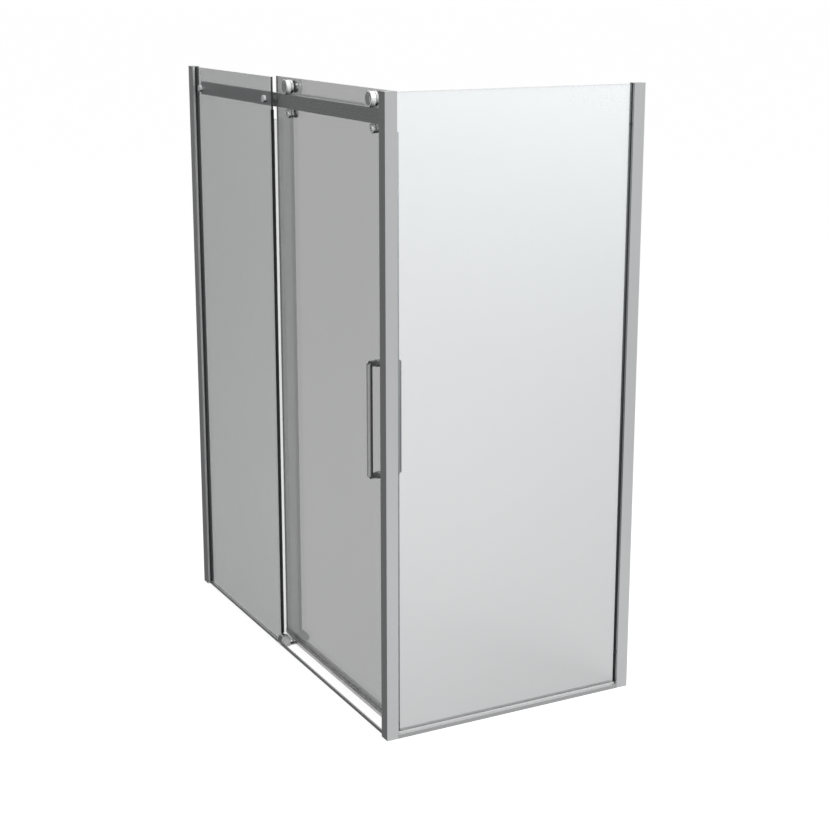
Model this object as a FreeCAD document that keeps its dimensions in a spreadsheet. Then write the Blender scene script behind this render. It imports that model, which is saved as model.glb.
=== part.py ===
import FreeCAD, Part
import os
import Sketcher

# Corner shower enclosure with one sliding door: a fixed pane and a rolling door pane along
# the front, and a fixed pane along the right side. All lengths are in millimetres.
#
# Row frame: +Z up, origin on the floor in the middle of the plan. The front run stands at
# low Y between the left wall (low X) and the corner post (high X). The side run stands at
# high X between the post and the back wall (high Y).
#
# Places are given by a station: s runs from the outer corner along the front towards the
# left wall, and t runs from the front's outer face inwards.

SIZES = {
    # overall
    "enclosure_length": 1600,
    "enclosure_width": 900,
    "enclosure_height": 2000,
    # wall profiles and corner post
    "profile_size": 40,
    "profile_wall": 2,
    "wall_profile_depth": 28,
    "inner_leg_setback": 12,
    "profile_round": 1,
    "nest_clearance": 0.3,
    "wall_allowance": 12,
    "slot_depth": 18,
    "chamber_skin": 1.6,
    "gasket_thickness": 7.3,
    "gasket_depth": 15,
    "gasket_taper": 1.2,
    "gasket_taper_length": 3.75,
    "cap_thickness": 2,
    "plug_depth": 10,
    "plug_clearance": 0.4,
    "wall_hole_diameter": 6,
    "wall_hole_end": 150,
    "wall_hole_inner": 700,
    "glazing_screw_end": 125,
    "glazing_screw_diameter": 3,
    "glazing_screw_head": 7,
    "glazing_screw_head_height": 4,
    "glazing_screw_head_bevel": 1,
    "glazing_screw_tail": 3,
    "post_slot_depth": 14,
    "liner_thickness": 2,
    # panes
    "glass_thickness": 8,
    "glass_arris": 0.6,
    "glass_inset": 16,
    "glass_bite": 14,
    "pane_top_drop": 3,
    "fixed_glass_width": 706,
    "setting_block_height": 3,
    "setting_block_length": 60,
    "setting_block_offset": 64,
    "glass_hole_diameter": 12,
    "grommet_flange": 1,
    # floor pieces
    "sill_height": 8.5,
    "sill_depth": 7,
    "sill_bevel": 1.2,
    "base_height": 13,
    "base_slot_floor": 3,
    # rail
    "rail_height": 47,
    "rail_thickness": 12,
    "rail_standoff": 6,
    "rail_top_drop": 54,
    "rail_wall_gap": 5,
    "rail_post_gap": 3,
    "rail_edge": 0.8,
    "rail_cap_thickness": 2,
    "bracket_plate": 3,
    "bracket_depth": 18,
    "bracket_cheek": 2.8,
    "bracket_clearance": 0.2,
    "bracket_screw_pitch": 28,
    "bracket_screw_diameter": 4,
    "bracket_screw_length": 12,
    "bracket_screw_head": 7.6,
    "bracket_screw_head_height": 2.2,
    "connector_wall_offset": 44,
    "connector_edge_offset": 48.5,
    "connector_cap_diameter": 25,
    "connector_cap_thickness": 9,
    "connector_cap_bevel": 1.5,
    "connector_bolt_diameter": 8,
    "connector_bolt_grip": 6,
    "connector_spacer_diameter": 20,
    # door pane
    "pane_overlap": 46,
    "door_gap": 31,
    "door_floor_gap": 20,
    # rollers on the rail
    "roller_lead_offset": 105,
    "roller_trail_offset": 131,
    "roller_radius": 22.2,
    "roller_flange": 2,
    "roller_flange_thickness": 2.7,
    "roller_bevel": 0.6,
    "running_gap": 0.3,
    "tread_thickness": 2.7,
    "cover_diameter": 40,
    "cover_step": 2,
    "cover_dome_diameter": 26.4,
    "bearing_diameter": 26,
    "bearing_width": 8,
    "bearing_ring": 2,
    "axle_diameter": 10,
    "axle_clearance": 0.05,
    "axle_head": 14,
    "axle_head_height": 1.7,
    "hub_thickness": 6.5,
    "hub_gap": 0.5,
    "hub_neck_diameter": 30,
    "inner_cap_thickness": 8,
    "inner_cap_diameter": 40,
    "inner_cap_round": 2,
    "inner_cap_grip": 4,
    # anti-lift wheels under the rail
    "lift_diameter": 31,
    "lift_thickness": 8,
    "lift_overlap": 4,
    "lift_gap": 0.5,
    "lift_bolt_diameter": 8,
    "lift_bolt_head": 16,
    "lift_bolt_head_height": 1.7,
    "lift_hub_thickness": 6,
    "lift_neck_diameter": 20,
    "lift_cap_thickness": 7,
    # handles
    "handle_offset": 72,
    "handle_height": 1003,
    "handle_pitch": 353,
    "handle_diameter": 19,
    "handle_reach": 45,
    "collar_diameter": 23,
    "collar_length": 22,
    "handle_washer": 1.5,
    "handle_washer_diameter": 22,
    "handle_bolt_diameter": 8,
    "handle_bolt_grip": 12,
    # seals and strike
    "clip_thickness": 1.5,
    "clip_leg": 12,
    "fin_thickness": 1.2,
    "fin_clearance": 0.6,
    "fin_lean": 4.5,
    "fin_top_gap": 39,
    "edge_seal_top_gap": 9,
    "edge_seal_foot_gap": 1,
    "strike_depth": 9.5,
    "strike_plate": 2,
    "strike_lip": 1.5,
    "strike_flange": 31,
    "strike_foot": 12,
    "strike_top_gap": 19,
    "closing_gap": 0.5,
    "magnet_nose": 6.5,
    "magnet_width": 8.5,
    "drip_floor_gap": 8,
    "drip_clip_leg": 16,
    # bottom guide
    "guide_diameter": 40,
    "guide_length": 30,
    "guide_glass_gap": 2,
    "guide_bevel": 1.5,
    "guide_ring_diameter": 28,
    "guide_ring_width": 1.6,
    "guide_ring_depth": 0.8,
    "guide_foot_height": 4,
    "guide_arm_width": 20,
    "guide_tongue_length": 22,
    "guide_tongue_thickness": 5,
    "guide_tongue_height": 18,
    "sill_clearance": 0.2,
    "fork_clearance": 0.5,
    "fork_lip": 2.5,
    "fork_base": 2,
    "fork_height": 22,
    "fork_length": 14,
    # open stop
    "stop_setback": 1.5,
    "buffer_thickness": 5,
    "buffer_diameter": 16,
    "buffer_bevel": 1.25,
    "stop_thickness": 12,
    "stop_height": 35,
    "stop_bevel": 4,
}

DOC = FreeCAD.newDocument("ShowerEnclosure")
SUB_PARTS = []


class Size:
    """A length that carries its value and the spreadsheet formula that gives it."""

    def __init__(self, text, value):
        self.text = text
        self.value = value

    def __add__(self, other):
        other = as_size(other)
        return Size(f"({self.text} + {other.text})", self.value + other.value)

    def __sub__(self, other):
        other = as_size(other)
        return Size(f"({self.text} - {other.text})", self.value - other.value)

    def __mul__(self, factor):
        return Size(f"({self.text} * {factor})", self.value * factor)

    def __truediv__(self, divisor):
        return Size(f"({self.text} / {divisor})", self.value / divisor)

    def __neg__(self):
        return Size(f"(-1 * {self.text})", -self.value)

    def __radd__(self, other):
        return as_size(other) + self

    def __rsub__(self, other):
        return as_size(other) - self

    def __rmul__(self, factor):
        return self * factor


def as_size(number):
    """A plain number as a Size, and a Size as it is."""
    if isinstance(number, Size):
        return number
    return Size(str(number), float(number))


class Dimensions:
    """The spreadsheet of driving sizes, read by name as attributes."""

    def __init__(self, sizes):
        sheet = DOC.addObject("Spreadsheet::Sheet", "Sizes")
        for row, (alias, value) in enumerate(sizes.items(), start=1):
            sheet.set(f"A{row}", alias.replace("_", " "))
            sheet.set(f"B{row}", str(value))
            sheet.setAlias(f"B{row}", alias)
            setattr(self, alias, Size(f"Sizes.{alias}", float(value)))
        DOC.recompute()


D = Dimensions(SIZES)

# Stations that several sub-parts share, each worked out from the driving sizes.
GLASS_BACK = D.glass_inset + D.glass_thickness
GLASS_MID = D.glass_inset + D.glass_thickness / 2
PANE_TOP = D.enclosure_height - D.pane_top_drop
PROFILE_HEIGHT = D.enclosure_height - D.cap_thickness
WALL_PROFILE_S = D.enclosure_length - D.profile_size
GASKET_FRONT = D.glass_inset - D.gasket_thickness
SLOT_START = D.profile_size - D.slot_depth

FIXED_LEFT = WALL_PROFILE_S + D.glass_bite
FIXED_EDGE = FIXED_LEFT - D.fixed_glass_width

SIDE_GLASS_START = D.profile_size - D.post_slot_depth + D.liner_thickness
SIDE_GLASS_END = D.enclosure_width - D.profile_size + D.glass_bite
SIDE_GLASS_FOOT = D.base_slot_floor + D.liner_thickness

RAIL_TOP = D.enclosure_height - D.rail_top_drop
RAIL_FOOT = RAIL_TOP - D.rail_height
RAIL_MID = RAIL_TOP - D.rail_height / 2
RAIL_FRONT = GLASS_BACK + D.rail_standoff
RAIL_BACK = RAIL_FRONT + D.rail_thickness
RAIL_LEFT = WALL_PROFILE_S - D.rail_wall_gap - D.rail_cap_thickness
RAIL_RIGHT = D.profile_size + D.bracket_plate + D.rail_post_gap
CONNECTOR_WALL_S = WALL_PROFILE_S - D.connector_wall_offset
CONNECTOR_EDGE_S = FIXED_EDGE + D.connector_edge_offset

DOOR_FRONT = GLASS_BACK + D.door_gap
DOOR_BACK = DOOR_FRONT + D.glass_thickness
DOOR_MID = DOOR_FRONT + D.glass_thickness / 2
STRIKE_FACE = D.profile_size + D.strike_depth
DOOR_LEAD = STRIKE_FACE + D.closing_gap + D.magnet_nose + D.clip_thickness
DOOR_TRAIL = FIXED_EDGE + D.pane_overlap
DOOR_WIDTH = DOOR_TRAIL - DOOR_LEAD

ROLLER_LEFT_S = DOOR_TRAIL - D.roller_trail_offset
ROLLER_RIGHT_S = DOOR_LEAD + D.roller_lead_offset
ROLLER_SPACING = ROLLER_LEFT_S - ROLLER_RIGHT_S
ROLLER_Z = RAIL_TOP + D.roller_radius + D.running_gap
LIFT_Z = RAIL_FOOT - D.lift_diameter / 2 - D.lift_gap
LIFT_FRONT = RAIL_BACK - D.lift_overlap
HANDLE_S = DOOR_LEAD + D.handle_offset

ROLE_X, ROLE_Z = "X_Axis", "Z_Axis"
HALF_TURN_Z = FreeCAD.Rotation(FreeCAD.Vector(0, 0, 1), 180)
QUARTER_TURN_BACK = FreeCAD.Rotation(FreeCAD.Vector(0, 0, 1), -90)
# Swaps the front run's length and depth and hangs it upside down for the back wall.
BACK_WALL_TURN = FreeCAD.Rotation(FreeCAD.Vector(1, -1, 0), 180)


def bind(item, path, size):
    """Ties one property of a document object to its spreadsheet formula."""
    item.setExpression(path, as_size(size).text)


class Ring:
    """A circle in a sketch, given by its centre and diameter."""

    def __init__(self, u, v, diameter):
        self.u = as_size(u)
        self.v = as_size(v)
        self.radius = as_size(diameter) / 2

    def draw(self, sketch):
        centre = FreeCAD.Vector(self.u.value, self.v.value, 0)
        circle = Part.Circle(centre, FreeCAD.Vector(0, 0, 1), self.radius.value)
        index = sketch.addGeometry(circle, False)
        fix_point(sketch, index, 3, self.u, self.v)
        fix_radius(sketch, index, self.radius)


class Outline:
    """A closed outline of straight edges. A corner may carry a rounding radius."""

    def __init__(self, *corners):
        self.corners = [tuple(as_size(value) for value in corner) for corner in corners]

    def joints(self):
        """Each corner as its entry point, its exit point and its rounding or None."""
        found = []
        count = len(self.corners)
        for index, corner in enumerate(self.corners):
            if len(corner) == 2:
                found.append((corner, corner, None))
                continue
            before = self.corners[index - 1]
            after = self.corners[(index + 1) % count]
            entry = step_towards(corner, before)
            leave = step_towards(corner, after)
            found.append((entry, leave, corner))
        return found

    def draw(self, sketch):
        joints = self.joints()
        count = len(joints)
        lines = []
        for index in range(count):
            start = joints[index][1]
            end = joints[(index + 1) % count][0]
            lines.append(sketch.addGeometry(Part.LineSegment(point(start), point(end)), False))
            fix_point(sketch, lines[-1], 1, start[0], start[1])
        for index, (entry, leave, corner) in enumerate(joints):
            incoming = lines[index - 1]
            outgoing = lines[index]
            if corner is None:
                sketch.addConstraint(Sketcher.Constraint("Coincident", incoming, 2, outgoing, 1))
                continue
            fix_point(sketch, incoming, 2, entry[0], entry[1])
            draw_round(sketch, incoming, outgoing, entry, leave, corner)


def point(pair):
    """The present position of a corner, for the sketch's first drawing."""
    return FreeCAD.Vector(pair[0].value, pair[1].value, 0)


def step_towards(corner, neighbour):
    """The point one rounding radius from a corner, along its edge to a neighbour."""
    u, v, radius = corner
    du = neighbour[0].value - u.value
    dv = neighbour[1].value - v.value
    if abs(du) > abs(dv):
        return (u + radius if du > 0 else u - radius, v)
    return (u, v + radius if dv > 0 else v - radius)


def draw_round(sketch, incoming, outgoing, entry, leave, corner):
    """Adds the quarter circle of a rounded right-angled corner between two edges."""
    first, last, sharp = point(entry), point(leave), point(corner)
    centre = first + last - sharp
    turn = (sharp - first).cross(last - sharp).z
    start, end = (first, last) if turn > 0 else (last, first)
    axis = FreeCAD.Vector(1, 0, 0)
    angles = []
    for place in (start, end):
        offset = place - centre
        angle = axis.getAngle(offset)
        angles.append(angle if offset.y >= 0 else -angle)
    circle = Part.Circle(centre, FreeCAD.Vector(0, 0, 1), corner[2].value)
    arc = sketch.addGeometry(Part.ArcOfCircle(circle, angles[0], angles[1]), False)
    entry_end, leave_end = (1, 2) if turn > 0 else (2, 1)
    sketch.addConstraint(Sketcher.Constraint("Coincident", incoming, 2, arc, entry_end))
    sketch.addConstraint(Sketcher.Constraint("Coincident", arc, leave_end, outgoing, 1))
    fix_radius(sketch, arc, corner[2])


def fix_point(sketch, index, end, u, v):
    """Ties one point of a sketch edge to its distances from the sketch's origin."""
    for kind, size in (("DistanceX", u), ("DistanceY", v)):
        rule = Sketcher.Constraint(kind, -1, 1, index, end, size.value)
        number = sketch.addConstraint(rule)
        bind(sketch, f"Constraints[{number}]", size)


def fix_radius(sketch, index, radius):
    """Ties the radius of a circle or arc in a sketch."""
    number = sketch.addConstraint(Sketcher.Constraint("Radius", index, radius.value))
    bind(sketch, f"Constraints[{number}]", radius)


def rectangle(u0, v0, u1, v1):
    """A rectangle between two opposite corners."""
    return Outline((u0, v0), (u1, v0), (u1, v1), (u0, v1))


class SubPart:
    """One sub-part: a body standing at its station, with helpers for its features."""

    def __init__(self, node, s, t, z, turn=None):
        self.body = DOC.addObject("PartDesign::Body", node)
        self.body.Label = node
        self.body.AllowCompound = True
        rotation = turn or FreeCAD.Rotation()
        self.body.Placement = FreeCAD.Placement(FreeCAD.Vector(0, 0, 0), rotation)
        bind(self.body, "Placement.Base.x", D.enclosure_length / 2 - s)
        bind(self.body, "Placement.Base.y", t - D.enclosure_width / 2)
        bind(self.body, "Placement.Base.z", z)
        SUB_PARTS.append(self.body)

    def origin(self, role):
        """The body's own origin plane or axis of that role."""
        for feature in self.body.Origin.OriginFeatures:
            if feature.Role == role:
                return feature
        raise RuntimeError(f"{self.body.Label} has no {role}")

    def sketch(self, plane, *loops, lift=None):
        """A sketch on an origin plane, or on one lifted along +X, +Y or +Z."""
        sketch = self.body.newObject("Sketcher::SketchObject", "Profile")
        sketch.AttachmentSupport = [(self.origin(f"{plane}_Plane"), "")]
        sketch.MapMode = "FlatFace"
        if lift is not None:
            away = -as_size(lift) if plane == "XZ" else as_size(lift)
            bind(sketch, "AttachmentOffset.Base.z", away)
        for loop in loops:
            loop.draw(sketch)
        return sketch

    def pad(self, plane, length, *loops, lift=None, back=False):
        """Extrudes loops from a plane towards +X, +Y or +Z, or the other way if back."""
        feature = self.body.newObject("PartDesign::Pad", "Pad")
        feature.Profile = self.sketch(plane, *loops, lift=lift)
        feature.Reversed = back != (plane == "XZ")
        bind(feature, "Length", length)
        return feature

    def pocket(self, plane, length, *loops, lift=None, back=False):
        """Cuts loops from a plane towards +X, +Y or +Z, or the other way if back."""
        DOC.recompute()
        before = self.body.Shape.Volume
        feature = self.body.newObject("PartDesign::Pocket", "Pocket")
        feature.Profile = self.sketch(plane, *loops, lift=lift)
        feature.Reversed = back == (plane == "XZ")
        bind(feature, "Length", length)
        DOC.recompute()
        if self.body.Shape.Volume >= before:
            raise RuntimeError(f"a pocket in {self.body.Label} cuts nothing")
        return feature

    def turned(self, *loops):
        """Revolves loops about the body's Y axis. Each corner is a radius and a depth."""
        feature = self.body.newObject("PartDesign::Revolution", "Revolution")
        sketch = self.sketch("XY", *loops)
        feature.Profile = sketch
        feature.ReferenceAxis = (sketch, ["V_Axis"])
        feature.Angle = 360
        return feature

    def repeat(self, features, role, length, count=2):
        """Repeats features at an even pitch over a length along an origin axis."""
        pattern = self.body.newObject("PartDesign::LinearPattern", "Pattern")
        pattern.Originals = features
        pattern.Direction = (self.origin(role), [""])
        bind(pattern, "Length", length)
        pattern.Occurrences = count
        self.body.Tip = pattern
        return pattern

    def chamfer(self, size, wanted):
        """Bevels the edges of the present shape for which wanted is true."""
        DOC.recompute()
        tip = self.body.Tip
        edges = []
        for index, edge in enumerate(tip.Shape.Edges, start=1):
            if wanted(edge):
                edges.append(f"Edge{index}")
        feature = self.body.newObject("PartDesign::Chamfer", "Chamfer")
        feature.Base = (tip, edges)
        bind(feature, "Size", size)
        return feature


def runs_along(edge, axis):
    """True for a straight edge parallel to an axis."""
    if not isinstance(edge.Curve, Part.Line):
        return False
    return abs(edge.Curve.Direction.dot(axis)) > 0.999


def straight_rim(thin_axis):
    """A test for the straight edges round a plate's two large faces."""

    def wanted(edge):
        return isinstance(edge.Curve, Part.Line) and not runs_along(edge, thin_axis)

    return wanted


def circle_at(axis, level):
    """A test for full circles that lie in the plane at that level of an axis."""

    def wanted(edge):
        if not isinstance(edge.Curve, Part.Circle) or not edge.isClosed():
            return False
        return abs(edge.Curve.Center.dot(axis) - level.value) < 0.01

    return wanted


X_AXIS = FreeCAD.Vector(1, 0, 0)
Y_AXIS = FreeCAD.Vector(0, 1, 0)


def grommet(front, pane, flange, flange_diameter, bore_diameter):
    """The outline of a soft I-shaped bush through a pane, as radii and depths."""
    bore = bore_diameter / 2
    rim = flange_diameter / 2
    sleeve = D.glass_hole_diameter / 2
    return Outline(
        (bore, front - flange), (rim, front - flange), (rim, front), (sleeve, front),
        (sleeve, front + pane), (rim, front + pane), (rim, front + pane + flange),
        (bore, front + pane + flange),
    )


# ---- wall profiles -------------------------------------------------------------------


def wall_screw_heights():
    """Heights of the wall holes: two pairs, each even about the middle."""
    from_foot = [D.wall_hole_end, D.wall_hole_inner]
    return from_foot + [D.enclosure_height - height for height in reversed(from_foot)]


def wall_run(tag, s, t, turn):
    """The nested profiles of one wall, with the pane's gasket and its screws. In the run's
    own frame u goes out from the wall, v inwards from the outer face, and z along the
    height. The wall profile's inner leg is shorter than its outer one."""
    foot = D.enclosure_height * 0 if tag == "front" else PROFILE_HEIGHT
    edge = D.profile_size
    depth = D.wall_profile_depth
    leg = D.profile_wall

    inner_reach = edge - D.inner_leg_setback
    channel = SubPart(f"wall_channel_{tag}", s, t, foot, turn)
    channel.pad("XY", PROFILE_HEIGHT, Outline(
        (0, 0), (edge, 0, D.profile_round), (edge, leg), (leg, leg), (leg, depth - leg),
        (inner_reach, depth - leg), (inner_reach, depth, D.profile_round), (0, depth),
    ))
    first_height = 0 if tag == "front" else D.cap_thickness
    channel.pocket("YZ", leg, *[
        Ring(depth / 2, height - first_height, D.wall_hole_diameter)
        for height in wall_screw_heights()
    ])

    near = leg + D.nest_clearance
    far = depth - near
    skin = D.chamber_skin
    slot_front, slot_back = GASKET_FRONT, GLASS_BACK
    glazing = SubPart(f"glazing_channel_{tag}", s, t, foot, turn)
    glazing.pad(
        "XY", PROFILE_HEIGHT,
        Outline(
            (D.wall_allowance, near), (edge, near), (edge, slot_front),
            (SLOT_START, slot_front), (SLOT_START, slot_back), (edge, slot_back),
            (edge, far), (D.wall_allowance, far),
        ),
        rectangle(D.wall_allowance + skin, near + skin, SLOT_START - skin, far - skin),
        rectangle(SLOT_START, near + skin, edge - skin, slot_front - skin),
    )
    screw_v = slot_front + D.gasket_thickness / 2
    screw_holes = [
        Ring(screw_v, height - first_height, D.glazing_screw_diameter)
        for height in (
            D.glazing_screw_end, D.enclosure_height / 2,
            D.enclosure_height - D.glazing_screw_end,
        )
    ]
    glazing.pocket("YZ", skin, *screw_holes, lift=SLOT_START, back=True)

    screws = SubPart(f"glazing_screws_{tag}", s, t, foot, turn)
    tail = SLOT_START - D.glazing_screw_tail
    screws.pad("YZ", edge - tail, *screw_holes, lift=tail)
    head_height = D.glazing_screw_head_height
    screws.pad("YZ", head_height, *[
        Ring(screw_v, hole.v, D.glazing_screw_head) for hole in screw_holes
    ], lift=edge)
    screws.chamfer(D.glazing_screw_head_bevel, circle_at(X_AXIS, edge + head_height))

    gasket = SubPart(f"glazing_gasket_{tag}", s, t, foot, turn)
    tip = edge - D.gasket_depth
    gasket.pad("XY", PROFILE_HEIGHT, Outline(
        (tip, slot_front + D.gasket_taper), (tip + D.gasket_taper_length, slot_front),
        (edge, slot_front), (edge, D.glass_inset), (tip, D.glass_inset),
    ))
    gasket.pocket("YZ", D.gasket_depth, *screw_holes, lift=edge, back=True)


def channel_cap(tag, s, t, turn):
    """The end cap on one wall profile, with the plug that holds it in the hollow web."""
    edge = D.profile_size
    depth = D.wall_profile_depth
    near = D.profile_wall + D.nest_clearance + D.chamber_skin + D.plug_clearance
    inset = D.chamber_skin + D.plug_clearance
    cap = SubPart(f"channel_cap_{tag}", s, t, PROFILE_HEIGHT, turn)
    cap.pad("XY", D.cap_thickness, Outline(
        (0, 0), (edge, 0, D.profile_round), (edge, depth, D.profile_round), (0, depth),
    ))
    cap.pad("XY", D.plug_depth, rectangle(
        D.wall_allowance + inset, near, SLOT_START - inset, depth - near,
    ), back=True)


# ---- corner post and side run --------------------------------------------------------


def corner_post():
    """The square post, its cap, and the liner of the slot that takes the side pane."""
    edge = D.profile_size
    wall = D.profile_wall
    radius = D.profile_round
    pane_near = edge - GLASS_BACK
    pane_far = edge - D.glass_inset
    slot_near = pane_near - D.liner_thickness
    slot_far = pane_far + D.liner_thickness
    slot_floor = edge - D.post_slot_depth
    post = SubPart("corner_post", edge, 0, 0)
    post.pad(
        "XY", PROFILE_HEIGHT,
        Outline(
            (0, 0, radius), (edge, 0, radius), (edge, edge, radius), (slot_far, edge),
            (slot_far, slot_floor), (slot_near, slot_floor), (slot_near, edge),
            (0, edge, radius),
        ),
        rectangle(wall, wall, edge - wall, slot_floor - wall),
        rectangle(wall, slot_floor, slot_near - wall, edge - wall),
        rectangle(slot_far + wall, slot_floor, edge - wall, edge - wall),
    )
    post.pocket("YZ", wall, *bracket_holes(0, D.bracket_screw_diameter, 0))

    cap = SubPart("corner_post_cap", edge, 0, PROFILE_HEIGHT)
    cap.pad("XY", D.cap_thickness, Outline(
        (0, 0, radius), (edge, 0, radius), (edge, edge, radius), (0, edge, radius),
    ))
    inset = wall + D.plug_clearance
    cap.pad("XY", D.plug_depth, rectangle(
        inset, inset, edge - inset, slot_floor - inset,
    ), back=True)

    liner = SubPart("post_glass_liner", edge, 0, SIDE_GLASS_FOOT)
    liner.pad("XY", PANE_TOP - SIDE_GLASS_FOOT, channel_liner(slot_floor, edge))


def channel_liner(floor, mouth):
    """A U-shaped strip that lines a slot across the side pane's edge, in the post's frame."""
    near = D.profile_size - GLASS_BACK
    far = D.profile_size - D.glass_inset
    thick = D.liner_thickness
    return Outline(
        (near - thick, floor), (far + thick, floor), (far + thick, mouth), (far, mouth),
        (far, floor + thick), (near, floor + thick), (near, mouth), (near - thick, mouth),
    )


def side_run():
    """The side pane and the hollow profile that carries its lower edge."""
    edge = D.profile_size
    pane = SubPart("side_glass", GLASS_BACK, SIDE_GLASS_START, SIDE_GLASS_FOOT)
    pane.pad("YZ", D.glass_thickness, rectangle(
        0, 0, SIDE_GLASS_END - SIDE_GLASS_START, PANE_TOP - SIDE_GLASS_FOOT,
    ))
    pane.chamfer(D.glass_arris, straight_rim(X_AXIS))

    wall = D.profile_wall
    near = edge - GLASS_BACK - D.liner_thickness
    far = edge - D.glass_inset + D.liner_thickness
    length = D.enclosure_width - edge * 2
    base = SubPart("side_base_profile", edge, edge, 0)
    base.pad(
        "XZ", length,
        Outline(
            (0, 0), (edge, 0), (edge, D.base_height, D.profile_round),
            (far, D.base_height), (far, D.base_slot_floor), (near, D.base_slot_floor),
            (near, D.base_height), (0, D.base_height, D.profile_round),
        ),
        rectangle(wall, wall, near - wall, D.base_height - wall),
        rectangle(far + wall, wall, edge - wall, D.base_height - wall),
    )
    liner = SubPart("side_base_liner", edge, edge, 0)
    liner.pad("XZ", length, channel_liner(D.base_slot_floor, D.base_height))


# ---- fixed pane ----------------------------------------------------------------------


def fixed_pane():
    """The fixed front pane with its blocks and the seal on its free edge."""
    foot = D.setting_block_height
    pane = SubPart("fixed_glass", FIXED_LEFT, D.glass_inset, foot)
    hole_z = RAIL_MID - foot
    pane.pad(
        "XZ", D.glass_thickness,
        rectangle(0, 0, D.fixed_glass_width, PANE_TOP - foot),
        Ring(FIXED_LEFT - CONNECTOR_WALL_S, hole_z, D.glass_hole_diameter),
        Ring(FIXED_LEFT - CONNECTOR_EDGE_S, hole_z, D.glass_hole_diameter),
    )
    pane.chamfer(D.glass_arris, straight_rim(Y_AXIS))

    block_s = FIXED_LEFT - D.setting_block_offset
    blocks = SubPart("setting_blocks", block_s, D.glass_inset, 0)
    block = blocks.pad("XY", foot, rectangle(
        0, 0, D.setting_block_length, D.glass_thickness,
    ))
    spread = D.fixed_glass_width - D.setting_block_offset * 2 - D.setting_block_length
    blocks.repeat([block], ROLE_X, spread)

    leg = D.clip_leg
    thick = D.clip_thickness
    back = D.glass_thickness
    seal_foot = D.guide_diameter + D.edge_seal_foot_gap
    seal = SubPart("fixed_edge_seal", FIXED_EDGE + leg, D.glass_inset, seal_foot)
    seal.pad("XY", RAIL_FOOT - D.edge_seal_top_gap - seal_foot, Outline(
        (0, -thick), (leg + thick, -thick), (leg + thick, back + thick), (0, back + thick),
        (0, back), (leg, back), (leg, 0), (0, 0),
    ))
    reach = D.glass_thickness + D.door_gap - D.fin_clearance
    root = leg + thick
    seal.pad("XY", RAIL_FOOT - D.fin_top_gap - seal_foot, Outline(
        (root - D.fin_thickness, back + thick / 2), (root, back + thick / 2),
        (root + D.fin_lean, reach), (root + D.fin_lean - D.fin_thickness, reach),
    ))


def sill():
    """The low threshold bar in front of the fixed pane and across the doorway."""
    bar = SubPart("sill", WALL_PROFILE_S, D.glass_inset - D.sill_depth, 0)
    bar.pad("YZ", WALL_PROFILE_S - D.profile_size, Outline(
        (0, 0), (D.sill_depth, 0), (D.sill_depth, D.sill_height),
        (D.sill_bevel, D.sill_height), (0, D.sill_height - D.sill_bevel),
    ))


# ---- rail ----------------------------------------------------------------------------


def bracket_holes(v_shift, diameter, foot):
    """The two screw positions of the rail bracket, one above the other."""
    v = RAIL_FRONT + D.rail_thickness / 2 - v_shift
    half = D.bracket_screw_pitch / 2
    return [Ring(v, RAIL_MID - foot + offset, diameter) for offset in (-half, half)]


def rail():
    """The flat rail with its end cap and the bracket and screws at the post."""
    length = RAIL_LEFT - RAIL_RIGHT
    bar = SubPart("rail", RAIL_LEFT, RAIL_FRONT, RAIL_FOOT)
    bar.pad(
        "XZ", D.rail_thickness,
        rectangle(0, 0, length, D.rail_height),
        Ring(RAIL_LEFT - CONNECTOR_WALL_S, D.rail_height / 2, D.connector_bolt_diameter),
        Ring(RAIL_LEFT - CONNECTOR_EDGE_S, D.rail_height / 2, D.connector_bolt_diameter),
    )
    bar.chamfer(D.rail_edge, lambda edge: runs_along(edge, X_AXIS))

    cap = SubPart("rail_end_cap", RAIL_LEFT + D.rail_cap_thickness, RAIL_FRONT, RAIL_FOOT)
    cap.pad("YZ", D.rail_cap_thickness, rectangle(0, 0, D.rail_thickness, D.rail_height))
    cap.chamfer(D.rail_edge, lambda edge: runs_along(edge, X_AXIS))

    cheek = D.bracket_cheek
    inner = D.rail_thickness + D.bracket_clearance * 2
    outer = inner + cheek * 2
    front = RAIL_FRONT - D.bracket_clearance - cheek
    depth = D.bracket_depth
    bracket = SubPart("rail_post_bracket", D.profile_size + depth, front, RAIL_FOOT)
    bracket.pad("XY", D.rail_height, Outline(
        (0, 0), (depth, 0), (depth, outer), (0, outer), (0, outer - cheek),
        (depth - D.bracket_plate, outer - cheek), (depth - D.bracket_plate, cheek), (0, cheek),
    ))
    bracket.pocket(
        "YZ", D.bracket_plate,
        *bracket_holes(front, D.bracket_screw_diameter, RAIL_FOOT),
        lift=depth, back=True,
    )

    screws = SubPart("bracket_screws", D.profile_size + D.bracket_plate, 0, 0)
    screws.pad(
        "YZ", D.bracket_screw_length, *bracket_holes(0, D.bracket_screw_diameter, 0),
    )
    screws.pad(
        "YZ", D.bracket_screw_head_height, *bracket_holes(0, D.bracket_screw_head, 0),
        back=True,
    )


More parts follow.
